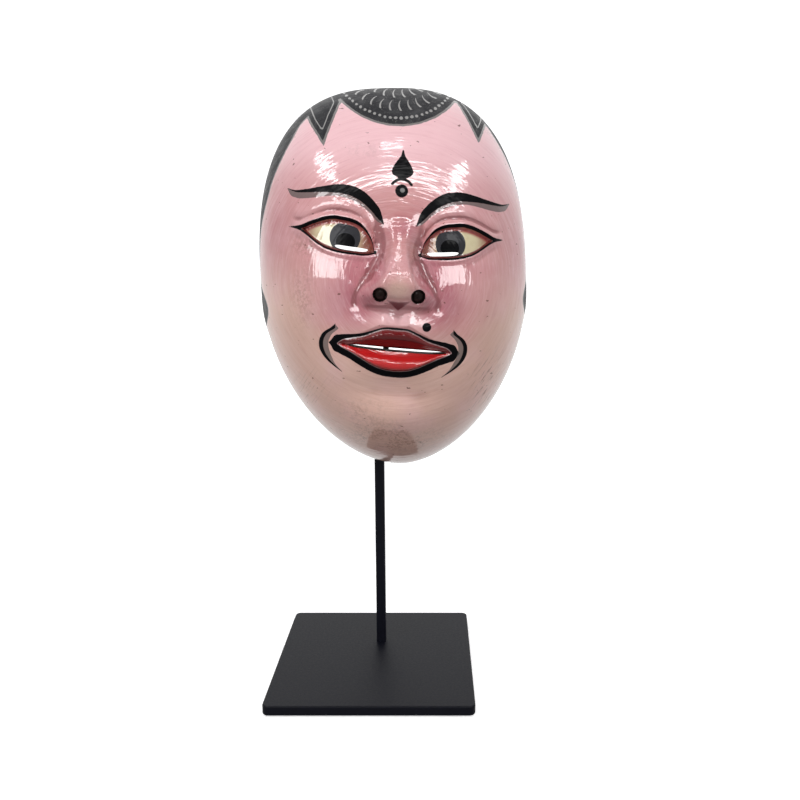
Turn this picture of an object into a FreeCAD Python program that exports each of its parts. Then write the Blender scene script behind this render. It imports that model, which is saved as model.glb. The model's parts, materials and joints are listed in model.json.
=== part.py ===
import FreeCAD, Part

import os
from math import asin, cos, radians, sin

import Sketcher

# A carved, painted folk art mask on a black steel display stand.
#
# Frame: millimetres, +Z up, origin on the floor under the centre of the base plate.
# The mask looks along -Y. Three more frames are nested in that one:
#   mask frame  origin on the mount rod's axis, turned about it by mask_turn
#   egg frame   in the mask frame, origin at the middle of the rim, leaned by mask_lean;
#               the shell's outline and dome are drawn in it
#   face frame  the same origin, slanted by face_slant; the features are drawn in it
# A depth is measured forwards, along -Y, from the rim.

OUTLINE_POINTS = 32
DOME_ANGLES = (90, 80, 68, 55, 42, 30, 19, 10, 4)
KNURL_GROOVES = 24
PARTS_FOLDER = "parts"

X_AXIS = (1, 0, 0)
Y_AXIS = (0, 1, 0)
Z_AXIS = (0, 0, 1)

# alias, value, what it is. Lengths are millimetres and angles are degrees.
DIMENSIONS = [
    ("plate_side", 101.6, "base plate, side of the square"),
    ("plate_thick", 5.0, "base plate, thickness"),
    ("plate_corner", 3.0, "base plate, corner radius in plan"),
    ("plate_ease", 0.7, "base plate, eased edges"),
    ("felt_thick", 1.0, "felt sheet, thickness"),
    ("felt_inset", 2.5, "felt sheet, its edge to the plate's edge"),
    ("felt_corner", 2.0, "felt sheet, corner radius in plan"),
    ("post_side", 5.0, "post, side of the square bar"),
    ("post_along", 2.2, "post axis, X from the plate's centre"),
    ("post_back", 16.4, "post axis, Y from the plate's centre"),
    ("post_top", 140.0, "post, top above the floor"),
    ("screw_radius", 1.5, "post screw, thread radius"),
    ("screw_head", 3.0, "post screw, head radius"),
    ("screw_sink", 1.6, "post screw, head height"),
    ("screw_reach", 14.0, "post screw, length"),
    ("screw_slack", 0.1, "post screw, clearance in the plate"),
    ("screw_key", 1.2, "post screw, hexagon socket's corner radius"),
    ("screw_key_deep", 1.2, "post screw, hexagon socket's depth"),
    ("rod_radius", 1.5, "mount rod, radius"),
    ("rod_low", 114.0, "mount rod, lower end above the floor"),
    ("rod_top", 212.5, "mount rod, upper end above the floor"),
    ("rod_round", 0.5, "mount rod, rounded upper end"),
    ("bead_length", 8.0, "weld bead, length"),
    ("bead_margin", 1.5, "weld bead, end of the lap to the bead"),
    ("bead_inner", 0.6, "weld bead, inner edge to the rod's plane"),
    ("bead_outer", 1.7, "weld bead, outer edge to the rod's plane"),
    ("bead_high", 1.3, "weld bead, how far it stands off the post"),
    ("collar_radius", 4.2, "stop collar, radius"),
    ("collar_high", 5.0, "stop collar, height"),
    ("collar_low", 175.0, "stop collar, underside above the floor"),
    ("grub_radius", 1.0, "collar grub screw, radius"),
    ("grub_short", 0.3, "collar grub screw, how far it stays inside the collar"),
    ("grub_key", 0.55, "collar grub screw, hexagon socket's corner radius"),
    ("grub_key_deep", 1.0, "collar grub screw, hexagon socket's depth"),
    ("washer_radius", 4.6, "washer, radius"),
    ("washer_thick", 1.0, "washer, thickness"),
    ("slide_gap", 0.08, "running clearance on the mount rod"),
    ("block_side", 12.0, "socket block, side of the square"),
    ("block_high", 30.0, "socket block, height"),
    ("block_ease", 1.2, "socket block, chamfer on its rear edges"),
    ("lock_radius", 1.5, "lock screw, thread radius"),
    ("lock_gap", 0.06, "lock screw, running clearance"),
    ("lock_head", 4.5, "lock screw, head radius"),
    ("lock_head_long", 5.0, "lock screw, head length"),
    ("lock_stand_off", 0.6, "lock screw, head to block when tight"),
    ("knurl_radius", 0.32, "lock screw, radius of a knurl groove"),
    ("tip_radius", 1.3, "lock tip, radius of its disc"),
    ("tip_long", 1.6, "lock tip, length of its disc"),
    ("tip_stub", 0.6, "lock tip, radius of its stub"),
    ("tip_stub_long", 1.2, "lock tip, length of its stub"),
    ("strip_thick", 2.5, "cross strip, thickness"),
    ("strip_width", 14.0, "cross strip, width"),
    ("strip_half", 63.0, "cross strip, half length"),
    ("strip_round", 2.5, "cross strip, corner radius"),
    ("wood_radius", 1.6, "wood screw, shank radius"),
    ("wood_head", 3.2, "wood screw, head radius"),
    ("wood_shank", 11.0, "wood screw, length of its shank"),
    ("wood_point", 4.0, "wood screw, length of its point"),
    ("wood_blunt", 0.4, "wood screw, radius of its tip"),
    ("wood_inset", 4.8, "wood screw, centre to the mask's side"),
    ("small_radius", 1.25, "block screw, thread radius"),
    ("small_head", 2.3, "block screw, head radius"),
    ("small_bite", 2.6, "block screw, length in the block"),
    ("small_apart", 4.0, "block screw, height above or below the lock screw"),
    ("slot_wide", 0.6, "screwdriver slot, width"),
    ("slot_deep", 0.5, "screwdriver slot, depth"),
    ("mask_turn", 4.0, "mask, turn about the mount rod towards +X"),
    ("mask_offset", 4.6, "mask, middle to the mount rod along X"),
    ("mask_mid", 198.0, "mask, widest level above the floor"),
    ("mask_lean", -2.0, "mask, lean of its outline towards +X"),
    ("mask_half", 65.3, "mask, half width at the rim"),
    ("mask_up", 96.0, "mask, top above the widest level"),
    ("mask_down", 87.0, "mask, chin below the widest level"),
    ("mask_deep", 62.0, "mask, depth of its dome"),
    ("wall", 8.0, "mask, wall thickness"),
    ("power_up", 2.7, "mask outline, squareness above the widest level"),
    ("power_down", 1.8, "mask outline, squareness below it"),
    ("power_deep", 2.3, "mask dome, squareness of its depth"),
    ("face_slant", 3.5, "mask features, slant of the carving"),
    ("eye_apart", 20.0, "eye slit, centre to the midline"),
    ("eye_level", 19.5, "eye slit, height above the widest level"),
    ("eye_half", 7.5, "eye slit, half length"),
    ("eye_high", 1.6, "eye slit, height"),
    ("mouth_level", -22.0, "mouth slit, height above the widest level"),
    ("mouth_half", 20.0, "mouth slit, half length"),
    ("mouth_high", 1.8, "mouth slit, height"),
    ("lip_half", 28.0, "lips, half length"),
    ("lip_high", 11.0, "lips, half height"),
    ("lip_deep", 12.0, "lips, half depth"),
    ("lip_centre", 55.5, "lips, depth of their middle"),
    ("nose_root", 50.0, "nose, depth of its hidden root"),
    ("nostril_radius", 2.6, "nostril pit, radius"),
    ("nostril_apart", 8.0, "nostril pit, centre to the midline"),
    ("nostril_level", 1.2, "nostril pit, height above the widest level"),
    ("nostril_floor", 62.0, "nostril pit, depth of its blind end"),
    ("nostril_long", 16.0, "nostril pit, length of its cutter"),
    ("strap_level", -43.0, "bite strap, centre above the widest level"),
    ("strap_wide", 14.0, "bite strap, width"),
    ("strap_thick", 2.5, "bite strap, thickness"),
    ("strap_crown", 12.0, "bite strap, depth of its crown"),
    ("strap_bow", 93.0, "bite strap, radius of its bow"),
    ("tab_start", 20.0, "bite strap, depth where its tabs start"),
    ("tab_end", 34.0, "bite strap, depth where its tabs end"),
    ("tack_depth", 29.0, "strap tack, depth of its centre"),
    ("tack_apart", 3.6, "strap tack, distance above or below the strap's centre"),
    ("tack_radius", 0.6, "strap tack, shank radius"),
    ("tack_long", 5.0, "strap tack, shank length in the wood"),
    ("tack_head", 2.0, "strap tack, head radius"),
    ("tack_head_thick", 0.8, "strap tack, head thickness"),
]

# The nose from the brow down: height above the widest level, half width, depth of the ridge.
NOSE_SECTIONS = [
    (38.0, 4.0, 58.5),
    (22.0, 6.5, 65.0),
    (9.0, 12.0, 74.5),
    (1.0, 16.5, 73.0),
    (-3.5, 13.0, 66.0),
]

doc = FreeCAD.newDocument("folk_mask_on_stand")
sheet = doc.addObject("Spreadsheet::Sheet", "Sizes")
for row, (alias, number, meaning) in enumerate(DIMENSIONS, start=1):
    sheet.set(f"A{row}", meaning)
    sheet.set(f"B{row}", str(number))
    sheet.setAlias(f"B{row}", alias)
doc.recompute()

# Sizes and places that several pieces share, as expressions of the sheet's cells.
PLATE_TOP = "(Sizes.felt_thick + Sizes.plate_thick)"
ROD_ALONG = "(Sizes.post_along + Sizes.post_side / 2 + Sizes.rod_radius)"
COLLAR_MID = "(Sizes.collar_low + Sizes.collar_high / 2)"
WASHER_LOW = "(Sizes.collar_low + Sizes.collar_high)"
BLOCK_LOW = f"({WASHER_LOW} + Sizes.washer_thick)"
LOCK_LEVEL = f"({BLOCK_LOW} + Sizes.block_high / 2)"
BLOCK_HALF = "(Sizes.block_side / 2)"
RIM = f"(-{BLOCK_HALF} - Sizes.strip_thick)"
BORE_RADIUS = "(Sizes.rod_radius + Sizes.slide_gap)"
LOCK_START = f"({BORE_RADIUS} + Sizes.tip_long + Sizes.lock_gap)"
HEAD_START = f"({BLOCK_HALF} + Sizes.lock_stand_off)"
WOOD_REACH = "(Sizes.mask_half - Sizes.wood_inset)"
ROD_FOOT = (ROD_ALONG, "Sizes.post_back", "Sizes.rod_low")


def value(expression):
    """The number that an expression of the sheet's cells has now."""
    return float(sheet.evalExpression(expression))


def size(alias):
    return value(f"Sizes.{alias}")


# ---------------------------------------------------------------- document objects


def put(made, base, axis=None, angle=None):
    """Binds an object's place, and its turn about an axis, to expressions. None is 0."""
    if angle is not None:
        made.Placement.Rotation = FreeCAD.Rotation(FreeCAD.Vector(*axis), value(angle))
        made.setExpression("Placement.Rotation.Angle", angle)
    for letter, expression in zip("xyz", base):
        if expression is not None:
            made.setExpression(f"Placement.Base.{letter}", expression)
    return made


def make(kind, label, base=(), axis=None, angle=None, **sizes):
    """A primitive whose sizes and place are expressions of the sheet."""
    made = doc.addObject(kind, label)
    made.Label = label
    for name, expression in sizes.items():
        made.setExpression(name, expression)
    return put(made, base, axis, angle)


def cylinder(label, base, radius, height, axis=None, angle=None):
    return make("Part::Cylinder", label, base, axis, angle, Radius=radius, Height=height)


def cone(label, base, low_radius, high_radius, height, axis=None, angle=None):
    sizes = {"Radius1": low_radius, "Radius2": high_radius, "Height": height}
    return make("Part::Cone", label, base, axis, angle, **sizes)


def box(label, base, length, width, height):
    return make("Part::Box", label, base, Length=length, Width=width, Height=height)


def hexagon(label, base, corner_radius, height, axis=None, angle=None):
    sizes = {"Circumradius": corner_radius, "Height": height}
    made = make("Part::Prism", label, base, axis, angle, **sizes)
    made.Polygon = 6
    return made


def combine(kind, label, shapes):
    """A fusion or a compound of several objects."""
    made = doc.addObject(kind, label)
    made.Label = label
    setattr(made, "Links" if kind == "Part::Compound" else "Shapes", list(shapes))
    return made


def fuse(label, *shapes):
    return combine("Part::MultiFuse", label, shapes)


def boolean(kind, label, base, tool):
    made = doc.addObject(kind, label)
    made.Label = label
    made.Base = base
    made.Tool = tool
    return made


def cut(label, base, *tools):
    """base with every tool taken away."""
    tool = tools[0] if len(tools) == 1 else fuse(f"{label}_tools", *tools)
    return boolean("Part::Cut", label, base, tool)


def common(label, base, tool):
    return boolean("Part::Common", label, base, tool)


def dress(kind, label, base, amount, picks):
    """A Part::Fillet or Part::Chamfer of the edges whose box a test picks."""
    doc.recompute()
    numbered = enumerate(base.Shape.Edges, start=1)
    edges = [(i, value(amount), value(amount)) for i, edge in numbered if picks(edge.BoundBox)]
    made = doc.addObject(kind, label)
    made.Label = label
    made.Base = base
    made.Edges = edges
    return made


def freeform(label, shape):
    """A shape that only Part's own functions can draw."""
    made = doc.addObject("Part::Feature", label)
    made.Label = label
    made.Shape = shape
    return made


def in_mask_frame(made):
    return put(made, (ROD_ALONG, "Sizes.post_back", None), Z_AXIS, "Sizes.mask_turn")


def in_egg_frame(made):
    return put(made, ("Sizes.mask_offset", RIM, "Sizes.mask_mid"), Y_AXIS, "Sizes.mask_lean")


def in_face_frame(made):
    return put(made, ("Sizes.mask_offset", RIM, "Sizes.mask_mid"), Y_AXIS, "Sizes.face_slant")


# ---------------------------------------------------------------- sketched bodies


def new_body(label, base):
    body = doc.addObject("PartDesign::Body", label)
    body.Label = label
    return put(body, base)


def new_sketch(body, name):
    """A sketch on the body's own XY plane."""
    sketch = body.newObject("Sketcher::SketchObject", name)
    plane = next(item for item in body.Origin.OriginFeatures if item.Role == "XY_Plane")
    sketch.AttachmentSupport = [(plane, "")]
    sketch.MapMode = "FlatFace"
    return sketch


def dimension(sketch, name, kind, places, expression):
    """A named dimension of a sketch, bound to the sheet."""
    index = sketch.addConstraint(Sketcher.Constraint(kind, *places, value(expression)))
    sketch.renameConstraint(index, name)
    sketch.setExpression(f"Constraints.{name}", expression)


def rectangle(sketch, left, right, low, high):
    """A rectangle whose sides are signed distances from the sketch's origin."""
    corners = [(left, low), (right, low), (right, high), (left, high)]
    points = [FreeCAD.Vector(value(x), value(y), 0) for x, y in corners]
    for i in range(4):
        sketch.addGeometry(Part.LineSegment(points[i], points[(i + 1) % 4]), False)
    for i in range(4):
        sketch.addConstraint(Sketcher.Constraint("Coincident", i, 2, (i + 1) % 4, 1))
        sketch.addConstraint(Sketcher.Constraint(("Horizontal", "Vertical")[i % 2], i))
    dimension(sketch, "left", "DistanceX", (-1, 1, 0, 1), left)
    dimension(sketch, "right", "DistanceX", (-1, 1, 1, 1), right)
    dimension(sketch, "low", "DistanceY", (-1, 1, 0, 1), low)
    dimension(sketch, "high", "DistanceY", (-1, 1, 2, 1), high)


def circle(sketch, radius):
    """A circle about the sketch's origin."""
    centre = FreeCAD.Vector(0, 0, 0)
    normal = FreeCAD.Vector(*Z_AXIS)
    sketch.addGeometry(Part.Circle(centre, normal, value(radius)), False)
    sketch.addConstraint(Sketcher.Constraint("Coincident", 0, 3, -1, 1))
    dimension(sketch, "radius", "Radius", (0,), radius)


def pad(body, name, sketch, length):
    made = body.newObject("PartDesign::Pad", name)
    made.Profile = sketch
    made.setExpression("Length", length)
    doc.recompute()
    return made


def take_away(body, made, before):
    """Recomputes, and stops if a feature that should cut has cut nothing."""
    doc.recompute()
    if body.Shape.Volume >= before:
        raise RuntimeError(f"{made.Label} cuts nothing")


def pocket_upwards(body, name, sketch, length):
    """A pocket cut towards +Z from the body's own XY plane."""
    before = body.Shape.Volume
    made = body.newObject("PartDesign::Pocket", name)
    made.Profile = sketch
    made.Reversed = True
    made.setExpression("Length", length)
    take_away(body, made, before)


def countersink(body, name, low_radius, high_radius, height):
    """A cone cut towards +Z from the body's own origin."""
    before = body.Shape.Volume
    made = body.newObject("PartDesign::SubtractiveCone", name)
    made.setExpression("Radius1", low_radius)
    made.setExpression("Radius2", high_radius)
    made.setExpression("Height", height)
    take_away(body, made, before)


def fillet_edges(body, name, base, radius, picks):
    """A fillet of the base's edges whose box a test picks."""
    numbered = enumerate(base.Shape.Edges, start=1)
    made = body.newObject("PartDesign::Fillet", name)
    made.Base = (base, [f"Edge{i}" for i, edge in numbered if picks(edge.BoundBox)])
    made.setExpression("Radius", radius)
    doc.recompute()
    return made


# ---------------------------------------------------------------- the stand


def base_plate():
    """Square plate with rounded corners and a countersunk hole under the post. Its body's
    origin is that hole, so that the hole needs no place of its own."""
    body = new_body("base_plate", ("Sizes.post_along", "Sizes.post_back", "Sizes.felt_thick"))
    outline = new_sketch(body, "plate_outline")
    half = "Sizes.plate_side / 2"
    rectangle(
        outline,
        f"-Sizes.post_along - {half}",
        f"-Sizes.post_along + {half}",
        f"-Sizes.post_back - {half}",
        f"-Sizes.post_back + {half}",
    )
    slab = pad(body, "plate_slab", outline, "Sizes.plate_thick")
    rounded = fillet_edges(
        body, "plate_corners", slab, "Sizes.plate_corner", lambda edge: edge.ZLength > 1
    )
    fillet_edges(body, "plate_edges", rounded, "Sizes.plate_ease", lambda edge: edge.ZLength < 1)
    hole = new_sketch(body, "plate_hole")
    circle(hole, "Sizes.screw_radius + Sizes.screw_slack")
    pocket_upwards(body, "plate_bore", hole, "Sizes.plate_thick")
    countersink(
        body,
        "plate_countersink",
        "Sizes.screw_head + Sizes.screw_slack",
        "Sizes.screw_radius + Sizes.screw_slack",
        "Sizes.screw_sink",
    )
    return body


def felt_sheet():
    """Felt glued under the plate, which covers the post screw's head."""
    half = "(Sizes.plate_side / 2 - Sizes.felt_inset)"
    side = f"2 * {half}"
    sheet_blank = box("felt_blank", (f"-{half}", f"-{half}", None), side, side, "Sizes.felt_thick")
    picks = lambda edge: edge.ZLength > size("felt_thick") / 2
    return dress("Part::Fillet", "felt_sheet", sheet_blank, "Sizes.felt_corner", picks)


def post():
    """Square bar with a tapped hole in its foot."""
    body = new_body("post", ("Sizes.post_along", "Sizes.post_back", PLATE_TOP))
    section = new_sketch(body, "post_section")
    half = "Sizes.post_side / 2"
    rectangle(section, f"-{half}", half, f"-{half}", half)
    pad(body, "post_bar", section, f"Sizes.post_top - {PLATE_TOP}")
    hole = new_sketch(body, "post_hole")
    circle(hole, "Sizes.screw_radius")
    pocket_upwards(body, "post_tapping", hole, "Sizes.screw_reach - Sizes.plate_thick")
    return body


def post_screw():
    """Countersunk machine screw that holds the post down, with a hexagon socket."""
    foot = ("Sizes.post_along", "Sizes.post_back", "Sizes.felt_thick")
    radii = ("Sizes.screw_head", "Sizes.screw_radius")
    head = cone("post_screw_head", foot, *radii, "Sizes.screw_sink")
    shank = cylinder("post_screw_shank", foot, "Sizes.screw_radius", "Sizes.screw_reach")
    key = hexagon("post_screw_key", foot, "Sizes.screw_key", "Sizes.screw_key_deep")
    return cut("post_screw", fuse("post_screw_blank", head, shank), key)


def rod_bar(label):
    return cylinder(label, ROD_FOOT, "Sizes.rod_radius", "Sizes.rod_top - Sizes.rod_low")


def mount_rod():
    """Round rod welded to the post's side, with a rounded upper end."""
    top = size("rod_top") - size("rod_round")
    bar = rod_bar("mount_rod_bar")
    picks = lambda edge: edge.ZMin > top
    return dress("Part::Fillet", "mount_rod", bar, "Sizes.rod_round", picks)


def weld_beads():
    """Four beads in the valleys between the rod and the post, near both ends of the lap."""
    rod = rod_bar("bead_rod")
    lows = (
        "Sizes.rod_low + Sizes.bead_margin",
        "Sizes.post_top - Sizes.bead_margin - Sizes.bead_length",
    )
    beads = []
    for low in lows:
        for side in ("Sizes.bead_inner", "-Sizes.bead_outer"):
            name = f"bead_{len(beads) + 1}"
            foot = ("Sizes.post_along + Sizes.post_side / 2", f"Sizes.post_back + {side}", low)
            width = "Sizes.bead_outer - Sizes.bead_inner"
            blank = box(f"{name}_blank", foot, "Sizes.bead_high", width, "Sizes.bead_length")
            beads.append(cut(name, blank, rod))
    return combine("Part::Compound", "weld_beads", beads)


def ring(label, low, outer, inner, height, *tools):
    """A ring round the mount rod, less any further tools."""
    foot = (ROD_ALONG, "Sizes.post_back", low)
    blank = cylinder(f"{label}_blank", foot, outer, height)
    bore = cylinder(f"{label}_bore", foot, inner, height)
    return cut(label, blank, bore, *tools)


def grub_bar(label, length):
    """Cylinder from the rod's axis towards the collar's rear."""
    foot = (ROD_ALONG, "Sizes.post_back", COLLAR_MID)
    return cylinder(label, foot, "Sizes.grub_radius", length, X_AXIS, "-90")


def stop_collar():
    """Collar clamped on the rod by a grub screw; the mask's socket stands on it."""
    outer = "Sizes.collar_radius"
    tapping = grub_bar("collar_tapping", outer)
    sizes = (outer, "Sizes.rod_radius", "Sizes.collar_high")
    return ring("stop_collar", "Sizes.collar_low", *sizes, tapping)


def collar_grub_screw():
    """Headless screw, a little short of the collar's skin, with a hexagon socket."""
    end = "Sizes.collar_radius - Sizes.grub_short"
    foot = (ROD_ALONG, f"Sizes.post_back + {end} - Sizes.grub_key_deep", COLLAR_MID)
    key = hexagon("grub_key", foot, "Sizes.grub_key", "Sizes.grub_key_deep", X_AXIS, "-90")
    return cut("collar_grub_screw", grub_bar("grub_blank", end), rod_bar("grub_rod"), key)


def socket_washer():
    """Thin washer between the collar and the socket block."""
    sizes = ("Sizes.washer_radius", BORE_RADIUS, "Sizes.washer_thick")
    return ring("socket_washer", WASHER_LOW, *sizes)


# ---------------------------------------------------------------- hardware behind the mask


def backward_cylinder(label, start, radius, length):
    """A cylinder on the lock screw's axis, in the mask frame, pointing to the rear."""
    return cylinder(label, (None, start, LOCK_LEVEL), radius, length, X_AXIS, "-90")


def small_screw_levels():
    return {
        "lower": f"{LOCK_LEVEL} - Sizes.small_apart",
        "upper": f"{LOCK_LEVEL} + Sizes.small_apart",
    }


def small_screw_shank(label, level):
    """Shank through the strip and into the block, short of its bore."""
    length = "Sizes.strip_thick + Sizes.small_bite"
    return cylinder(label, (None, RIM, level), "Sizes.small_radius", length, X_AXIS, "-90")


def small_screw_blank(label, level):
    """Countersunk screw whose flat head is flush with the strip's front."""
    radii = ("Sizes.small_head", "Sizes.small_radius")
    high = "Sizes.small_head - Sizes.small_radius"
    head = cone(f"{label}_head", (None, RIM, level), *radii, high, X_AXIS, "-90")
    return fuse(f"{label}_blank", head, small_screw_shank(f"{label}_shank", level))


def block_screws():
    """Two small countersunk screws that fasten the block to the strip."""
    slot_sizes = ("2 * Sizes.small_head", "Sizes.slot_deep", "Sizes.slot_wide")
    screws = []
    for place, level in small_screw_levels().items():
        label = f"block_screw_{place}"
        foot = ("-Sizes.small_head", RIM, f"{level} - Sizes.slot_wide / 2")
        slot = box(f"{label}_slot", foot, *slot_sizes)
        screws.append(cut(label, small_screw_blank(label, level), slot))
    return in_mask_frame(combine("Part::Compound", "block_screws", screws))


def socket_block():
    """Steel block with an upright bore for the rod and a tapped hole for the lock screw."""
    foot = (f"-{BLOCK_HALF}", f"-{BLOCK_HALF}", BLOCK_LOW)
    side = "Sizes.block_side"
    bar = box("socket_block_bar", foot, side, side, "Sizes.block_high")
    picks = lambda edge: edge.ZLength > 1 and edge.YMin > 0
    eased = dress("Part::Chamfer", "socket_block_eased", bar, "Sizes.block_ease", picks)
    bore = cylinder("socket_bore", (None, None, BLOCK_LOW), BORE_RADIUS, "Sizes.block_high")
    tapping_radius = "Sizes.lock_radius + Sizes.lock_gap"
    tools = [bore, backward_cylinder("socket_tapping", None, tapping_radius, BLOCK_HALF)]
    for place, level in small_screw_levels().items():
        tools.append(small_screw_shank(f"socket_tapping_{place}", level))
    return in_mask_frame(cut("socket_block", eased, *tools))


def lock_tip():
    """Nylon tip that sits in the lock screw's bored end and bears on the rod."""
    disc = backward_cylinder("tip_disc", BORE_RADIUS, "Sizes.tip_radius", "Sizes.tip_long")
    stub_long = "Sizes.tip_long + Sizes.tip_stub_long"
    stub = backward_cylinder("tip_stub", BORE_RADIUS, "Sizes.tip_stub", stub_long)
    return in_mask_frame(fuse("lock_tip", disc, stub))


def lock_screw():
    """Knurled thumb screw that locks the mask on the rod; its end is bored for the tip."""
    shank_long = f"{HEAD_START} - {LOCK_START}"
    shank = backward_cylinder("lock_shank", LOCK_START, "Sizes.lock_radius", shank_long)
    head_long = "Sizes.lock_head_long"
    head = backward_cylinder("lock_head", HEAD_START, "Sizes.lock_head", head_long)
    bore_radius = "Sizes.tip_stub + Sizes.lock_gap"
    tools = [backward_cylinder("lock_bore", LOCK_START, bore_radius, "Sizes.tip_stub_long")]
    for i in range(KNURL_GROOVES):
        angle = 360 * i / KNURL_GROOVES
        across = f"Sizes.lock_head * cos({angle} deg)"
        up = f"{LOCK_LEVEL} + Sizes.lock_head * sin({angle} deg)"
        place = ((across, HEAD_START, up), "Sizes.knurl_radius", head_long)
        tools.append(cylinder(f"lock_groove_{i + 1}", *place, X_AXIS, "-90"))
    return in_mask_frame(cut("lock_screw", fuse("lock_blank", shank, head), *tools))


def wood_screw_places():
    """X of the wood screws at the two ends of the strip."""
    return {
        "left": f"Sizes.mask_offset - {WOOD_REACH}",
        "right": f"Sizes.mask_offset + {WOOD_REACH}",
    }


def wood_screw_blank(label, along):
    """Countersunk screw flush with the strip's back, pointing forwards into the rim."""
    start = (along, f"-{BLOCK_HALF}", LOCK_LEVEL)
    point_start = (along, f"-{BLOCK_HALF} - Sizes.wood_shank", LOCK_LEVEL)
    shank_radius = "Sizes.wood_radius"
    high = "Sizes.wood_head - Sizes.wood_radius"
    head = cone(f"{label}_head", start, "Sizes.wood_head", shank_radius, high, X_AXIS, "90")
    shank = cylinder(f"{label}_shank", start, shank_radius, "Sizes.wood_shank", X_AXIS, "90")
    point_sizes = (shank_radius, "Sizes.wood_blunt", "Sizes.wood_point")
    point = cone(f"{label}_point", point_start, *point_sizes, X_AXIS, "90")
    return fuse(f"{label}_blank", head, shank, point)


def strip_screws():
    """The two wood screws, each with a driver slot across its head."""
    slot_sizes = ("2 * Sizes.wood_head", "Sizes.slot_deep", "Sizes.slot_wide")
    screws = []
    for side, along in wood_screw_places().items():
        label = f"strip_screw_{side}"
        foot = (
            f"{along} - Sizes.wood_head",
            f"-{BLOCK_HALF} - Sizes.slot_deep",
            f"{LOCK_LEVEL} - Sizes.slot_wide / 2",
        )
        slot = box(f"{label}_slot", foot, *slot_sizes)
        screws.append(in_mask_frame(cut(label, wood_screw_blank(label, along), slot)))
    return screws


def cross_strip():
    """Flat bar across the mask's rim, with countersunk holes at its ends and its middle."""
    foot = ("Sizes.mask_offset - Sizes.strip_half", RIM, f"{LOCK_LEVEL} - Sizes.strip_width / 2")
    bar_sizes = ("2 * Sizes.strip_half", "Sizes.strip_thick", "Sizes.strip_width")
    bar = box("cross_strip_bar", foot, *bar_sizes)
    picks = lambda edge: edge.YLength > 1
    rounded = dress("Part::Fillet", "cross_strip_rounded", bar, "Sizes.strip_round", picks)
    tools = []
    for side, along in wood_screw_places().items():
        tools.append(wood_screw_blank(f"strip_hole_{side}", along))
    for place, level in small_screw_levels().items():
        tools.append(small_screw_blank(f"strip_hole_{place}", level))
    return in_mask_frame(cut("cross_strip", rounded, *tools))


# ---------------------------------------------------------------- the mask


def signed_power(base, power):
    """base to a power, with base's own sign."""
    return (1 if base >= 0 else -1) * abs(base) ** power


def shrink_at(depth, inset):
    """How far the egg's outline has shrunk towards its middle at a depth."""
    power = size("power_deep")
    return (1 - (depth / (size("mask_deep") - inset)) ** power) ** (1 / power)


def egg_point(angle, inset, depth):
    """A point of the dome's skin, or of the hollow's if inset is the wall's thickness.
    The angle goes round the outline. Above the widest level it is squarer than an ellipse."""
    upper = sin(angle) >= 0
    power = 2 / size("power_up" if upper else "power_down")
    high = size("mask_up" if upper else "mask_down") - inset
    half = size("mask_half") - inset
    shrink = shrink_at(depth, inset)
    across = shrink * half * signed_power(cos(angle), power)
    return FreeCAD.Vector(across, -depth, shrink * high * signed_power(sin(angle), power))


def dome(label, inset):
    """Solid egg-shaped dome in front of the rim."""
    deep = size("mask_deep") - inset
    sections = []
    for dome_angle in DOME_ANGLES:
        depth = deep * max(cos(radians(dome_angle)), 0) ** (2 / size("power_deep"))
        angles = [radians(360 * i / OUTLINE_POINTS) for i in range(OUTLINE_POINTS)]
        curve = Part.BSplineCurve()
        curve.interpolate(
            Points=[egg_point(angle, inset, depth) for angle in angles], PeriodicFlag=True
        )
        sections.append(Part.Wire(curve.toShape()))
    return freeform(label, Part.makeLoft(sections, True, False))


def nose():
    """Nose lofted through level sections from the brow to its base."""
    root = size("nose_root")
    wires = []
    for level, half, ridge in NOSE_SECTIONS:
        left = FreeCAD.Vector(-half, -root, level)
        tip = FreeCAD.Vector(0, -ridge, level)
        right = FreeCAD.Vector(half, -root, level)
        arc = Part.Arc(left, tip, right).toShape()
        chord = Part.LineSegment(right, left).toShape()
        wires.append(Part.Wire([arc, chord]))
    return freeform("nose", Part.makeLoft(wires, True, True))


def lips():
    """Lips as one flat ellipsoid, half sunk in the dome."""
    base = (None, "-Sizes.lip_centre", "Sizes.mouth_level")
    radii = {
        "Radius1": "Sizes.lip_high",
        "Radius2": "Sizes.lip_half",
        "Radius3": "Sizes.lip_deep",
    }
    made = make("Part::Ellipsoid", "lips", base, **radii)
    made.Angle1 = -90
    made.Angle2 = 90
    return made


def slit(label, across, level, half, high):
    """A box that cuts a narrow slit right through the front wall."""
    foot = (f"{across} - {half}", "-Sizes.mask_deep - 2 * Sizes.wall", f"{level} - {high} / 2")
    return box(label, foot, f"2 * {half}", "4 * Sizes.wall", high)


def nostril(label, across):
    """A blind pit in the underside of the nose."""
    foot = (across, "-Sizes.nostril_floor", "Sizes.nostril_level")
    return cylinder(label, foot, "Sizes.nostril_radius", "Sizes.nostril_long", X_AXIS, "90")


def face_holes():
    """The slits and the nostril pits, in the face frame."""
    eye = ("Sizes.eye_level", "Sizes.eye_half", "Sizes.eye_high")
    mouth = ("Sizes.mouth_level", "Sizes.mouth_half", "Sizes.mouth_high")
    holes = fuse(
        "face_holes",
        slit("eye_slit_left", "-Sizes.eye_apart", *eye),
        slit("eye_slit_right", "Sizes.eye_apart", *eye),
        slit("mouth_slit", "0", *mouth),
        nostril("nostril_left", "-Sizes.nostril_apart"),
        nostril("nostril_right", "Sizes.nostril_apart"),
    )
    return in_face_frame(holes)


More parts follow.
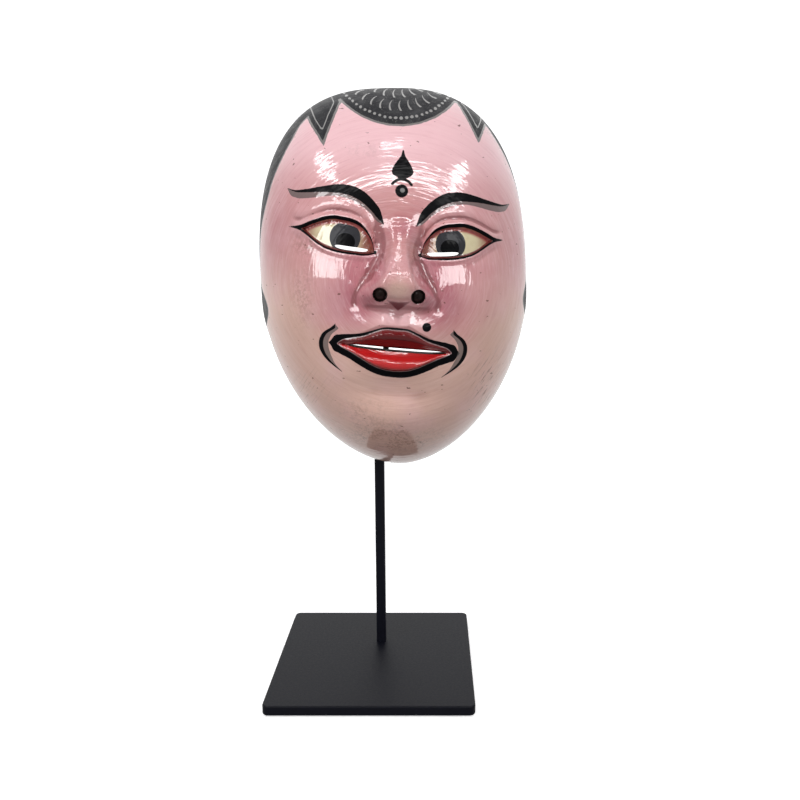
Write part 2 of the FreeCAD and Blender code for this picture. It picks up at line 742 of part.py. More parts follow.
def mask_shell(hollow, tacks):
    """The carved wooden shell: dome, nose and lips, hollowed from behind and pierced."""
    relief = in_face_frame(fuse("relief", nose(), lips()))
    solid = fuse("mask_solid", in_egg_frame(dome("mask_dome", 0)), relief)
    tools = [hollow, face_holes(), tacks]
    for side, along in wood_screw_places().items():
        tools.append(wood_screw_blank(f"rim_pilot_{side}", along))
    return in_mask_frame(cut("mask_shell", solid, *tools))


def tack_places():
    """The middle of each tack's head, on the strap's inner face, and its way out into the
    wood, in the egg frame. The strap's tabs lie on the wall on both sides."""
    inset = size("wall") + size("strap_thick")
    depth = size("tack_depth")
    places = []
    for side in (-1, 1):
        for offset in (-size("tack_apart"), size("tack_apart")):
            below = -(size("strap_level") + offset) / shrink_at(depth, inset)
            share = below / (size("mask_down") - inset)
            angle = asin(-(share ** (size("power_down") / 2)))
            here = egg_point(angle, inset, depth)
            ahead = egg_point(angle, inset, depth + 1)
            outward = FreeCAD.Vector(side * (here.y - ahead.y), ahead.x - here.x, 0)
            here.x *= side
            places.append((here, outward.normalize()))
    return places


def tack(label, middle, outward):
    """A round-headed tack whose head stands on the strap, and whose shank is in the wood."""
    head = cylinder(f"{label}_head", (), "Sizes.tack_head", "Sizes.tack_head_thick")
    shank_long = "Sizes.tack_head_thick + Sizes.strap_thick + Sizes.tack_long"
    shank = cylinder(f"{label}_shank", (), "Sizes.tack_radius", shank_long)
    made = fuse(label, head, shank)
    foot = middle - outward * size("tack_head_thick")
    spin = FreeCAD.Rotation(FreeCAD.Vector(*Z_AXIS), outward)
    made.Placement = FreeCAD.Placement(foot, spin)
    return made


def all_tacks(label):
    """Every tack, as one compound in the egg frame."""
    tacks = [tack(f"{label}_{i}", *place) for i, place in enumerate(tack_places(), start=1)]
    return in_egg_frame(combine("Part::Compound", f"{label}_group", tacks))


def strap_slab(label, start, end):
    """A slab of the strap's width across the whole mask, between two depths."""
    foot = ("-Sizes.mask_half", f"-{end}", "Sizes.strap_level - Sizes.strap_wide / 2")
    return box(label, foot, "2 * Sizes.mask_half", f"{end} - {start}", "Sizes.strap_wide")


def bite_strap(hollow, tacks):
    """Leather strap bowed across the hollow below the mouth, with a tab flat on each wall."""
    low = "Sizes.strap_level - Sizes.strap_wide / 2"
    middle = (None, "-Sizes.strap_crown - Sizes.strap_bow", low)
    outer = cylinder("strap_outer", middle, "Sizes.strap_bow", "Sizes.strap_wide")
    inner_radius = "Sizes.strap_bow - Sizes.strap_thick"
    inner = cylinder("strap_inner", middle, inner_radius, "Sizes.strap_wide")
    rear = strap_slab("strap_rear", "0", "(Sizes.tab_start + Sizes.strap_thick)")
    span = common("strap_span", cut("strap_ring", outer, inner), rear)
    sides = strap_slab("strap_sides", "Sizes.tab_start", "Sizes.tab_end")
    lining = dome("strap_lining", size("wall") + size("strap_thick"))
    blank = in_egg_frame(fuse("strap_blank", span, cut("strap_tabs", sides, lining)))
    return in_mask_frame(cut("bite_strap", common("strap_fitted", blank, hollow), tacks))


def strap_tacks():
    """The four tacks as one node."""
    return in_mask_frame(combine("Part::Compound", "strap_tacks", [all_tacks("tack")]))


# ---------------------------------------------------------------- check and write


def check(pieces):
    for made in doc.Objects:
        if {"Invalid", "Error"} & set(made.State):
            raise RuntimeError(f"{made.Label} has failed: {made.State}")
    for made in pieces:
        if made.Shape.isNull() or not made.Shape.isValid() or not made.Shape.Solids:
            raise RuntimeError(f"{made.Label} has no valid solid")


def main():
    hollow = in_egg_frame(dome("mask_hollow", size("wall")))
    tack_holes = all_tacks("tack_hole")
    pieces = [base_plate(), felt_sheet(), post(), post_screw(), mount_rod(), weld_beads()]
    pieces += [stop_collar(), collar_grub_screw(), socket_washer()]
    pieces += [socket_block(), lock_tip(), lock_screw(), block_screws()]
    pieces += [cross_strip(), *strip_screws()]
    pieces += [mask_shell(hollow, tack_holes), bite_strap(hollow, tack_holes), strap_tacks()]
    doc.recompute()
    check(pieces)
    os.makedirs(PARTS_FOLDER, exist_ok=True)
    for made in pieces:
        made.Shape.exportStep(os.path.join(PARTS_FOLDER, f"{made.Label}.step"))
        print(f"{made.Label:22s} solids {len(made.Shape.Solids)} {made.Shape.Volume:10.1f} mm3")


main()
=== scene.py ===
import json
from math import asin, cos, degrees, pi, radians, sin

import bmesh
import bpy
import numpy as np
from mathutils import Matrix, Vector, noise


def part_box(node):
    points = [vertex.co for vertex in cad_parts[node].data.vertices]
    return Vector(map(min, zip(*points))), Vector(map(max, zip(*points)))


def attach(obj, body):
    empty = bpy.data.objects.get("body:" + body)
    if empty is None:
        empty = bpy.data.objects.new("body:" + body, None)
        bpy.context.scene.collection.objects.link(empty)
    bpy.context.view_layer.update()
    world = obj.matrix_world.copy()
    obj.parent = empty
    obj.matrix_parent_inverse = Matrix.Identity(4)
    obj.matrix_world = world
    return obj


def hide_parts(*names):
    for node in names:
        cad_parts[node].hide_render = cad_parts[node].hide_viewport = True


# A carved, painted folk art mask on a black steel stand: the looks, built round the frame.
#
# Shapes are worked out in millimetres, in three frames set inside the shared one:
#   mask frame  origin on the swivel's axis at the floor, Y towards the lock screw, Z up
#   egg frame   origin at the middle of the rim, leaned by LEAN; outline, dome and hair
#   face frame  the same origin, slanted by SLANT; the features
# Depth is measured forwards, along -Y, from the rim.

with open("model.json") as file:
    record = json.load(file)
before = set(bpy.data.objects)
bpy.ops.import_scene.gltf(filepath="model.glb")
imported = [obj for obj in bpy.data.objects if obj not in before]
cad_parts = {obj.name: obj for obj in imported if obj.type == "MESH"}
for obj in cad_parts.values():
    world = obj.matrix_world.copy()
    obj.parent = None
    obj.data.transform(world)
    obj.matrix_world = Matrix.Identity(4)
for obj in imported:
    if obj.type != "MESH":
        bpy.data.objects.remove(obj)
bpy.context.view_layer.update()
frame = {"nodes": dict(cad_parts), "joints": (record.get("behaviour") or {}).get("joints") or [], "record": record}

MM = 0.001
UP_AXIS = Vector((0, 0, 1))


def curve(points):
    """A smooth function through points, flat beyond both ends."""
    xs, ys = np.array(points, float).T
    slopes = np.gradient(ys, xs)

    def at(x):
        x = np.clip(x, xs[0], xs[-1])
        i = np.clip(np.searchsorted(xs, x) - 1, 0, len(xs) - 2)
        width = xs[i + 1] - xs[i]
        t = (x - xs[i]) / width
        ends = (1 + 2 * t) * (1 - t) ** 2 * ys[i] + t * t * (3 - 2 * t) * ys[i + 1]
        tangents = t * (1 - t) ** 2 * slopes[i] + t * t * (t - 1) * slopes[i + 1]
        return ends + width * tangents

    return at


# ---- driving sizes, mm and degrees

MASK_OFFSET = 4.6
MASK_MID = 198
LEAN = -2
SLANT = 3.5
HALF, UP, DOWN, DEEP = 65.3, 96, 87, 62
WALL = 8
POWER_UP, POWER_DOWN, POWER_DEEP = 2.7, 1.8, 2.3

# The fine grid covers the features; beyond GRID_REACH of the outline it gets coarser.
GRID = 0.52
GRID_REACH = 0.78
SIDE_GRID = 1
HOLLOW_GRID, HOLLOW_ROUND_GRID = 1.9, 1.7
# Lengths that the grids divide: from the middle (or the fine grid) out, and half across.
FINE_OUT, FINE_ACROSS = 88, 75
SIDE_OUT, SIDE_ACROSS = 56, 78
HOLLOW_OUT, HOLLOW_ACROSS = 105, 66
RIM_EASE = 0.8

# Features, in the face frame. Each curve gives levels, or widths, against distances.
EYE_MIDDLE = -1.3
EYE_START, EYE_END, TAIL_END = 10, 41.5, 47.5
eye_top = curve([
    (10, 18.4), (10.8, 21.8), (12.6, 25.2), (15.4, 28.3), (19, 30.2),
    (23.4, 31.1), (28, 31.4), (31.5, 30.8), (35.2, 29.6), (38.8, 28.1), (41.5, 27), (47.5, 27.4),
])
eye_low = curve([
    (10, 18.2), (13, 17.5), (18, 17.6), (22, 17.9), (27, 18.6), (32, 20.1),
    (35.5, 22.1), (38.5, 24.4), (41.5, 26.4), (47.5, 27.4),
])
eye_top_line = curve([(10, 0.8), (14, 1.2), (24, 1.4), (34, 1.5), (41.5, 1.4), (47.5, 0.1)])
eye_low_line = curve([(10, 0.5), (20, 0.8), (34, 0.8), (41.5, 0.9), (47.5, 0.1)])
IRIS_AT, IRIS_RADIUS = (22.6, 23.9), 6.6
PUPIL_AT, PUPIL_RADIUS = (22.3, 22.2), 4.1
# Each slit: half its length and height, and the depths that its cutter runs between.
EYE_SLIT_OUT, EYE_SLIT_UP, EYE_SLIT = 19.9, 1.75, (7.3, 0.8, (44, 80))

BROW_MIDDLE, BROW_START, BROW_END = -0.9, 6.8, 49.3
brow_top = curve([
    (6.8, 30.4), (8, 34.6), (11, 39.2), (14.3, 42.3), (18, 44.6), (22, 45.7),
    (27, 45.9), (31.5, 45.2), (36, 44.3), (41, 43.4), (46, 43), (49.3, 43.8),
])
brow_mid = curve([
    (6.8, 30.2), (9.7, 32.8), (12.8, 36), (16, 38.6), (20, 40.8), (24.5, 42),
    (30, 42.3), (35.5, 42.3), (41, 42), (46, 42.3), (49.3, 43.7),
])
brow_low = curve([
    (6.8, 30.1), (9.7, 31.5), (12.8, 34.5), (16, 37), (20, 39.2), (24, 40.5),
    (28.5, 41), (34, 40.4), (40, 39.6), (45, 39.7), (48, 41.2), (49.3, 43.4),
])

MOUTH_MIDDLE, MOUTH_SLANT, MOUTH_LEVEL = -0.3, 0.033, -22.4
LIP_END, RED_END, LIP_RISE = 27.8, 24.9, 3
MOUTH_SLIT_MIDDLE, MOUTH_SLIT = 0.9, (21.8, 0.85, (40, 84))
lip_top = curve([
    (0, -12.5), (5, -12.7), (9.5, -14.3), (14, -16.1), (19.5, -17.2), (24, -18),
    (26.7, -19.2), (27.8, -21),
])
lip_low = curve([
    (0, -34.9), (5.8, -34.4), (10.3, -33), (15, -30.8), (19.8, -28.2), (24.5, -26.3),
    (27, -24.9), (27.8, -23.3),
])
red_top = curve([
    (0, -13.8), (5, -13.9), (9, -15.4), (13.5, -17.6), (19.3, -19.3), (23.2, -20.6), (24.9, -22),
])
red_low = curve([
    (0, -31.8), (5.5, -31.2), (10.2, -29.6), (15, -27.1), (19.8, -24.7), (23.4, -23.1),
    (24.9, -22.2),
])
SMILE_MIDDLE, SMILE_LOW, SMILE_TOP = -0.8, -33.9, -14.6
smile_outer = curve([
    (-33.9, 22.4), (-32, 25.4), (-29.6, 28.6), (-26, 31.6), (-22, 32.7), (-19, 32.1),
    (-16.4, 30.3), (-14.6, 27.6),
])
smile_black = curve([(-33.9, 0.4), (-31, 1.2), (-25, 1.9), (-18, 1.9), (-15.4, 2.2), (-14.6, 2)])
smile_grey = curve([(-33.9, 0), (-31, 0.7), (-28, 1.9), (-22, 2.3), (-17, 2.2), (-14.6, 1.5)])

NOSE_MIDDLE = -0.8
nose_rise = curve([
    (-4.6, 0), (-2.6, 2.8), (0, 7), (3.4, 9.8), (6.5, 11.2), (9.5, 11.1), (14, 9.3), (20, 6.5),
    (26, 3.4), (32, 1.1), (42, 0),
])
nose_flat = curve([(-4, 5), (3, 6), (8, 5), (13, 3.2), (20, 2.2), (42, 0.5)])
nose_wide = curve([
    (-5, 17.6), (-1, 17.6), (4.4, 15.4), (11.7, 11.4), (16.6, 9.4), (22, 8.6), (28, 10.5), (42, 14),
])
NOSTRIL_AT, NOSTRIL_RADIUS = (8, 1.2), 3.1
MOLE_AT, MOLE_RADIUS = (12.7, -11.7), 1.95
MARK_MIDDLE, MARK_LOW, MARK_TOP = -0.9, 51.3, 62.2
mark_half = curve([(51.3, 4.1), (52.5, 4.6), (54.6, 4.1), (57, 2.7), (59.5, 1), (62.2, 0.3)])
DOT_LEVEL, DOT_RADIUS, ARC_RADIUS, ARC_HALF = 44.7, 2.75, 4.9, 0.62

# Forms and colours spread as soft hills: height, place across, level, half width, half height.
SIDE_FORMS = [
    (0.8, 25, 43, 17, 7), (-1.8, 26, 21, 17, 8), (-2.4, 10.5, 22, 5, 9), (2, 34, 3, 22, 19),
    (-1.3, 26, -9, 6, 9), (-1, 54, 22, 9, 22),
]
MIDDLE_FORMS = [
    (2.4, 0, -17, 21, 15), (1.6, 0, -13.5, 24, 6), (-1.5, 0, -42, 20, 6), (3.2, 0, -56, 17, 11),
    (0.5, 0, 62, 34, 16),
]
# Rose paint. The hills beside the nose and down the fold towards the mouth also stand for painted shade there.
SIDE_BLUSH_AND_SHADE = [
    (1.2, 17, 3, 9, 8), (0.6, 16, 13, 9, 6), (0.5, 27, -10, 9, 9), (0.55, 56, 22, 10, 18),
    (0.35, 30, 14, 16, 6), (0.8, 16, -7, 6, 7), (0.5, 11, 14, 4, 9),
]
MIDDLE_BLUSH = [(1.1, 0, 31, 12, 12)]
MIDDLE_BEIGE = [(1.1, -0.8, 3.4, 7, 4.5), (0.6, 0, 31, 11, 12)]
DIRTY = [
    (0.55, 0, -66, 26, 8), (0.35, -41, -2, 5, 12), (0.7, -37, 20, 8, 4), (0.2, -17, 61, 8, 3),
    (0.3, -12, -52, 12, 6),
]
SCRATCHED = [(1, 45, -38, 8, 13), (0.5, -36, -46, 8, 10)]

# Hair, in the egg frame and mirrored about HAIR_MIDDLE: the crown's disc, the spikes at the
# temples, and the depth of the hairline down the sides.
HAIR_MIDDLE = 5
CROWN_LEVEL, CROWN_RADIUS = 104.2, 31.6
BEAD_RING, BEAD_SPACING = CROWN_RADIUS - 3.9, 2.35
CURL_RING, CURL_ROW, CURL_SPACING = CROWN_RADIUS - 10, 7, 4.1
SPIKE = [(26, 86), (34, 65.2), (40.5, 77), (46, 92), (30, 100)]
hairline = curve([
    (-30, -12), (-17, 6), (-12, 22), (-8, 28.5), (-4.5, 30.4), (-1, 28.6), (3, 24),
    (8, 17), (20, 14.5), (31, 17.5), (38, 21), (44, 23.8), (54, 26), (61, 27.3),
    (70, 27.3), (78, 24.6), (96, 25),
])
HAIR_LEAN = 0.075

# The brush went round the face in rings about this level.
BRUSH_LEVEL = 8

# Strap, in the egg frame: level, half width and thickness, depths of its tabs, and its bow.
STRAP_LEVEL, STRAP_WIDE, STRAP_THICK = -43, 6.9, 1.22
STRAP_TABS = (33.6, 31.5, 29, 26.8)
STRAP_BOW, STRAP_CROWN = 91.75, 105
FELT_CORNER = 2

# The camera's place in mm, tilt, lens and shift; the round room in metres.
CAMERA_PLACE, CAMERA_TILT, CAMERA_LENS, CAMERA_SHIFT = (29.5, -396.8, 215.7), 10.23, 35.96, -0.0385
ROOM_RADIUS, ROOM_HEIGHT, ROOM_SIDES = 8, 9, 48

# Soft boxes, aimed at the face: azimuth from over the camera and elevation in degrees, distance,
# width and height in metres, and radiance.
BOX_AIM = (0.01, -0.05, 0.21)
SOFT_BOXES = [
    ("left_box", -40, 18, 1, 0.58, 0.48, 4.8),
    ("high_left_box", -54, 46, 1, 0.4, 0.09, 8),
    ("right_box", 58, 41, 1, 0.34, 0.09, 8),
    ("low_right_box", 38, 18, 1, 0.46, 0.36, 5),
    ("strip", 3, 43, 1.1, 1.5, 0.1, 8),
    ("overhead", 4, 63, 1, 0.1, 0.14, 5),
]

# ---- frames


def joint(name):
    return next(item for item in frame["joints"] if item["name"] == name)


ROD = np.array(joint("mask_swivel")["pos_m"]) / MM * (1, 1, 0)
BACK = np.array(joint("lock_turn")["axis"])
ACROSS = np.cross(BACK, UP_AXIS)
MASK_AXES = np.array([ACROSS, BACK, UP_AXIS])
STRIP_POINTS = np.array([v.co for v in frame["nodes"]["cross_strip"].data.vertices]) / MM
RIM = float(((STRIP_POINTS - ROD) @ BACK).min())


def turned(points, angle):
    """Points turned about Y; a positive angle leans their top towards +X."""
    c, s = cos(radians(angle)), sin(radians(angle))
    x, y, z = points.T
    return np.stack([x * c + z * s, y, z * c - x * s], axis=1)


def egg_to_shared(points):
    """Points of the egg frame, in mm, as points of the shared frame, in metres."""
    in_mask = turned(points, LEAN) + (MASK_OFFSET, RIM, MASK_MID)
    return (in_mask @ MASK_AXES + ROD) * MM


def shared_to_egg(points):
    """The way back: metres of the shared frame to mm of the egg frame."""
    in_mask = (np.asarray(points) / MM - ROD) @ MASK_AXES.T
    return turned(in_mask - (MASK_OFFSET, RIM, MASK_MID), -LEAN)


def egg_to_face(points):
    return turned(points, LEAN - SLANT)


def face_to_egg(points):
    return turned(points, SLANT - LEAN)


# ---- small shape helpers


def smooth(share):
    """0 up to 0, 1 from 1, with an easy S between."""
    share = np.clip(share, 0, 1)
    return share * share * (3 - 2 * share)


def ridge(x, at, wide):
    """A soft hump along a line, 1 at its top."""
    return np.exp(-(((x - at) / wide) ** 2))


def bump(x, z, at_x, at_z, wide, high):
    """A soft round hill, 1 at its top."""
    return np.exp(-(((x - at_x) / wide) ** 2) - ((z - at_z) / high) ** 2)


def past_ends(x, start, end):
    """How far x lies outside a range."""
    return np.clip(start - x, 0, None) + np.clip(x - end, 0, None)


# ---- the carved surface


def outline(angle, inset):
    """Distance from the egg's middle to its outline, less an inset, at an angle."""
    across = np.sqrt(np.cos(angle) ** 2 + 0.05**2)
    upward = np.sqrt(np.sin(angle) ** 2 + 0.05**2)
    power = POWER_DOWN + (POWER_UP - POWER_DOWN) * smooth((np.sin(angle) + 0.3) / 0.6)
    high = np.where(np.sin(angle) >= 0, UP, DOWN) - inset
    return ((across / (HALF - inset)) ** power + (upward / high) ** power) ** (-1 / power)


def dome(reach, inset):
    """Depth of the plain dome at a share of the way to the outline."""
    return (DEEP - inset) * np.clip(1 - reach**POWER_DEEP, 0, 1) ** (1 / POWER_DEEP)


def mouth_place(x, z):
    """Distance from the mouth's middle, and level against its slant."""
    return np.abs(x - MOUTH_MIDDLE), z + MOUTH_SLANT * x


def swellings(across, z, forms):
    """The sum of soft hills, each given by its height, place and half sizes."""
    return sum(rise * bump(across, z, *shape) for rise, *shape in forms)


def broad_forms(x, z):
    """Brows, sockets, cheeks, muzzle and chin, as gentle swellings and hollows."""
    return swellings(np.abs(x), z, SIDE_FORMS) + swellings(x, z, MIDDLE_FORMS)


def with_nose(depth, x, z):
    """The depth with a tent-shaped nose, its wings and its two pits added."""
    side = np.abs(x - NOSE_MIDDLE)
    flat, wide = nose_flat(z), nose_wide(z)
    section = 1 - smooth((side - flat) / (wide - flat))
    made = depth + nose_rise(z) * section
    made = made + 2 * bump(side, z, 13.2, 1.6, 4.4, 4.4)
    window = smooth((z + 7) / 4) * smooth((16 - z) / 8)
    made = made - 1 * window * ridge(side, wide + 0.4, 1.8)
    away = np.hypot(np.abs(x) - NOSTRIL_AT[0], z - NOSTRIL_AT[1]) / NOSTRIL_RADIUS
    bead = np.sqrt(np.clip(1 - (away / 0.8) ** 2, 0, 1))
    return made - 2.4 * (1 - smooth((away - 0.75) / 0.3)) + 1.6 * bead


def eye_forms(x, z):
    """Lids that roll over a sunk eyeball, with a crease above the upper one."""
    side = np.abs(x - EYE_MIDDLE)
    top, low = eye_top(side), eye_low(side)
    inside = np.minimum(np.minimum(top - z, z - low), np.minimum(side - EYE_START, EYE_END - side))
    opening = smooth(inside / 0.9)
    ball = -2.1 + 2.5 * np.clip(1 - ((side - 25.5) / 17) ** 2 - ((z - 23) / 9.5) ** 2, -0.2, 1)
    near = smooth((side - 7) / 4) * smooth((48 - side) / 7)
    above, below = z - top, low - z
    rolls = 1.5 * ridge(above, 1.4, 1.5) - 0.7 * ridge(above, 3.7, 0.9)
    rolls += 0.8 * ridge(above, 6.5, 2.4) + ridge(below, 1, 1.4)
    return near * (1 - opening) * rolls + opening * ball


def inside_red(side, level):
    """How far a place is inside the red of the lips, in mm."""
    return np.minimum(red_top(side) - level, level - red_low(side)) - past_ends(side, 0, RED_END)


def lip_forms(x, z):
    """Lips that rise from the inner edge of their inked outline and fall back to the slit."""
    side, level = mouth_place(x, z)
    top, low = lip_top(side), lip_low(side)
    upper = curve([(0, 0.5), (0.25, 1), (0.42, 0.9), (0.66, 0.3), (1, -0.9)])
    lower = curve([(0, 0.5), (0.22, 1.1), (0.4, 1.3), (0.56, 1.05), (0.8, 0), (1, -0.7)])
    span_up = np.maximum(top - MOUTH_LEVEL, 0.3)
    span_down = np.maximum(MOUTH_LEVEL - low, 0.3)
    shape = np.where(
        level > MOUTH_LEVEL,
        upper(np.clip((top - level) / span_up, 0, 1)),
        lower(np.clip((level - low) / span_down, 0, 1)),
    )
    ends = np.clip(1 - (side / LIP_END) ** 2, 0, 1) ** 0.6
    lips = LIP_RISE * ends * shape * smooth((inside_red(side, level) + 0.5) / 1.9)
    window = smooth((z + 13) / 3) * smooth((-3 - z) / 3)
    groove = 0.3 * ridge(np.abs(x), 4.8, 1.8) - 0.35 * ridge(x, 0, 2.4)
    return lips + window * groove


def carved_depth(x, z, reach):
    """Depth of the finished front at a place of the face frame."""
    fade = 1 - smooth((reach - 0.8) / 0.16)
    plain = dome(reach, 0)
    made = with_nose(plain + broad_forms(x, z), x, z)
    made = made + eye_forms(x, z) + lip_forms(x, z)
    return plain + fade * (made - plain)


def knife_marks(points):
    """A slight unevenness of the hand-carved front, in mm."""
    places = [Vector(point) for point in points]
    return np.array([0.22 * noise.noise(at / 20) + 0.03 * noise.noise(at / 5) for at in places])


def gouge_marks(angle, reach):
    """Scallops that a gouge leaves in the hollow, in mm."""
    rows = reach * 11
    row = np.floor(rows)
    around = angle / (2 * pi) * np.maximum(np.floor(row * 3.2), 4) + 0.37 * row
    along, across = rows - row, around - np.floor(around)
    scallop = (1 - (2 * across - 1) ** 2) * (1 - (2 * along - 1) ** 4)
    return 0.9 * scallop * (0.6 + 0.4 * np.sin(row * 2.3 + np.floor(around) * 1.7))


def front_rings():
    """(count, reach) of the rings from the middle of the front out to the rim."""
    rings = []
    steps = round(GRID_REACH * FINE_OUT / GRID)
    for i in range(1, steps + 1):
        reach = GRID_REACH * i / steps
        rings.append((max(12, round(2 * pi * FINE_ACROSS * reach / (GRID * 1.08))), reach))
    start = degrees(asin(GRID_REACH ** (POWER_DEEP / 2)))
    steps = round(SIDE_OUT / SIDE_GRID)
    for i in range(1, steps):
        turn = radians(start + (90 - start) * i / steps)
        rings.append((round(2 * pi * SIDE_ACROSS / SIDE_GRID), sin(turn) ** (2 / POWER_DEEP)))
    return rings


def hollow_rings():
    steps = round(HOLLOW_OUT / HOLLOW_GRID)
    turns = [radians(90 * (steps - i) / steps) for i in range(1, steps)]
    reaches = [sin(turn) ** (2 / POWER_DEEP) for turn in turns]
    counts = [round(2 * pi * HOLLOW_ACROSS * reach / HOLLOW_ROUND_GRID) for reach in reaches]
    return [(max(10, count), reach) for count, reach in zip(counts, reaches)]


def ring_angles(count):
    return 2 * pi * np.arange(count) / count


def place_ring(count, reach, inset):
    angle = ring_angles(count)
    distance = reach * outline(angle, inset)
    return distance * np.cos(angle), distance * np.sin(angle)


def front_ring(count, reach):
    x, z = place_ring(count, reach, 0)
    flat = np.stack([x, np.zeros(count), z], axis=1)
    face = egg_to_face(flat)
    depth = carved_depth(face[:, 0], face[:, 2], reach)
    marks = knife_marks(flat) * (1 - smooth((reach - 0.9) / 0.1))
    return np.stack([x, -(depth + marks), z], axis=1)


def rim_ring(count, inset, depth):
    x, z = place_ring(count, 1, inset)
    return np.stack([x, np.full(count, -depth), z], axis=1)


def hollow_ring(count, reach):
    x, z = place_ring(count, reach, WALL)
    cuts = gouge_marks(ring_angles(count), reach) * smooth((1 - reach) / 0.04)
    return np.stack([x, -dome(reach, WALL) - cuts, z], axis=1)


def zip_rings(near, far):
    """Triangles between two closed rings of evenly spaced vertices."""
    a, b = len(near), len(far)
    i, j = 0, 0
    faces = []
    while i < a or j < b:
        if j == b or (i < a and (i + 1) * b <= (j + 1) * a):
            faces.append((near[i % a], near[(i + 1) % a], far[j % b]))
            i += 1
        else:
            faces.append((near[i % a], far[(j + 1) % b], far[j % b]))
            j += 1
    return faces


def add_object(name, data):
    made = bpy.data.objects.new(name, data)
    bpy.context.scene.collection.objects.link(made)
    return made


def new_object(name, points, faces, *materials):
    mesh = bpy.data.meshes.new(name)
    mesh.from_pydata([tuple(p) for p in points], [], faces)
    mesh.update()
    for material in materials:
        mesh.materials.append(material)
    return add_object(name, mesh)


def shell_mesh(paint, wood, cut_wood):
    """The whole shell as one closed mesh: front, rim and hollow."""
    front = front_rings()
    rings = [front_ring(count, reach) for count, reach in front]
    painted = len(rings)
    around = front[-1][0]
    eased = [(0, RIM_EASE), (0.25 * RIM_EASE, 0.25 * RIM_EASE), (RIM_EASE, 0)]
    for inset, depth in eased + [(WALL - RIM_EASE, 0), (WALL, RIM_EASE)]:
        rings.append(rim_ring(around, inset, depth))
    rings += [hollow_ring(count, reach) for count, reach in hollow_rings()]
    top = [0, -float(carved_depth(np.zeros(1), np.zeros(1), 0)[0]), 0]
    bottom = [0, -(DEEP - WALL), 0]
    points = np.concatenate([[top], *rings, [bottom]])
    faces, zones = [], []
    start = 1
    last = None
    for number, ring in enumerate(rings):
        here = range(start, start + len(ring))
        if last is None:
            made = [(0, here[(i + 1) % len(here)], here[i]) for i in range(len(here))]
        else:
            made = zip_rings(last, here)
        faces += made
        zones += [0 if number <= painted + 1 else 1] * len(made)
        last, start = here, start + len(ring)
    end = len(points) - 1
    faces += [(last[i], last[(i + 1) % len(last)], end) for i in range(len(last))]
    zones += [1] * len(last)
    shell = new_object("carved_mask", egg_to_shared(points), faces, paint, wood, cut_wood)
    shell.data.polygons.foreach_set("material_index", zones)
    outward(shell)
    return shell


def outward(made):
    """Turns every face outwards."""
    work = bmesh.new()
    work.from_mesh(made.data)
    bmesh.ops.recalc_face_normals(work, faces=work.faces)
    work.to_mesh(made.data)
    work.free()


# ---- the slits


def slit_cutter(name, centre, level, reach, high, depths):
    """A lens-shaped bar that points through the wall; level gives its middle's height."""
    along = np.linspace(centre - reach, centre + reach, 29)
    half = high * np.sqrt(np.clip(1 - ((along - centre) / reach) ** 4, 0, 1)) + 0.001
    upper = np.stack([along, level(along) + half], axis=1)
    lower = np.stack([along, level(along) - half], axis=1)
    loop = np.concatenate([upper, lower[::-1][1:-1]])
    count = len(loop)
    points = []
    for depth in depths:
        points += [(x, -depth, z) for x, z in loop]
    faces = [tuple(range(count)), tuple(range(2 * count - 1, count - 1, -1))]
    faces += [(i, count + i, count + (i + 1) % count, (i + 1) % count) for i in range(count)]
    made = new_object(name, egg_to_shared(face_to_egg(np.array(points, float))), faces)
    outward(made)
    return made


def slit_cutters():
    def under_iris(x):
        return eye_low(np.abs(x - EYE_MIDDLE)) + EYE_SLIT_UP

    def between_lips(x):
        return MOUTH_LEVEL - MOUTH_SLANT * x

    eyes = [
        slit_cutter(f"eye_cutter_{side}", EYE_MIDDLE + side * EYE_SLIT_OUT, under_iris, *EYE_SLIT)
        for side in (-1, 1)
    ]
    return eyes + [slit_cutter("mouth_cutter", MOUTH_SLIT_MIDDLE, between_lips, *MOUTH_SLIT)]


def cut_slits(shell):
    """Cuts the three slits right through the shell, and applies the cuts to its mesh."""
    cutters = slit_cutters()
    for cutter in cutters:
        for material in shell.data.materials:
            cutter.data.materials.append(material)
        cutter.data.polygons.foreach_set("material_index", [2] * len(cutter.data.polygons))
        cut = shell.modifiers.new(cutter.name, "BOOLEAN")
        cut.operation = "DIFFERENCE"
        cut.solver = "MANIFOLD"
        cut.object = cutter
    graph = bpy.context.evaluated_depsgraph_get()
    finished = bpy.data.meshes.new_from_object(shell.evaluated_get(graph))
    shell.modifiers.clear()
    old = shell.data
    shell.data = finished
    bpy.data.meshes.remove(old)
    for cutter in cutters:
        bpy.data.objects.remove(cutter)


# ---- painted fields


def spike_field(x, z):
    """Signed distance into a spike's outline, positive inside."""
    corners = np.array(SPIKE)
    nearest = np.full(x.shape, 1e9)
    inside = np.zeros(x.shape, bool)
    for i in range(len(corners)):
        (ax, az), (bx, bz) = corners[i], corners[(i + 1) % len(corners)]
        run, rise = bx - ax, bz - az
        share = np.clip(((x - ax) * run + (z - az) * rise) / (run * run + rise * rise), 0, 1)
        nearest = np.minimum(nearest, np.hypot(x - ax - share * run, z - az - share * rise))
        crosses = (az > z) != (bz > z)
        inside ^= crosses & (x < ax + (z - az) / np.where(rise == 0, 1, rise) * run)
    return np.where(inside, nearest, -nearest)


def hair_fields(egg):
    """How far a place is inside the hair, the crown's disc and the spikes, in mm."""
    x, z, depth = egg[:, 0] - HAIR_MIDDLE, egg[:, 2], -egg[:, 1]
    crown = CROWN_RADIUS - np.hypot(x, z - CROWN_LEVEL)
    sides = hairline(z) - HAIR_LEAN * smooth((z - 8) / 14) * x - depth
    spikes = spike_field(np.abs(x), z)
    return np.maximum(np.maximum(sides, crown), spikes), crown, spikes


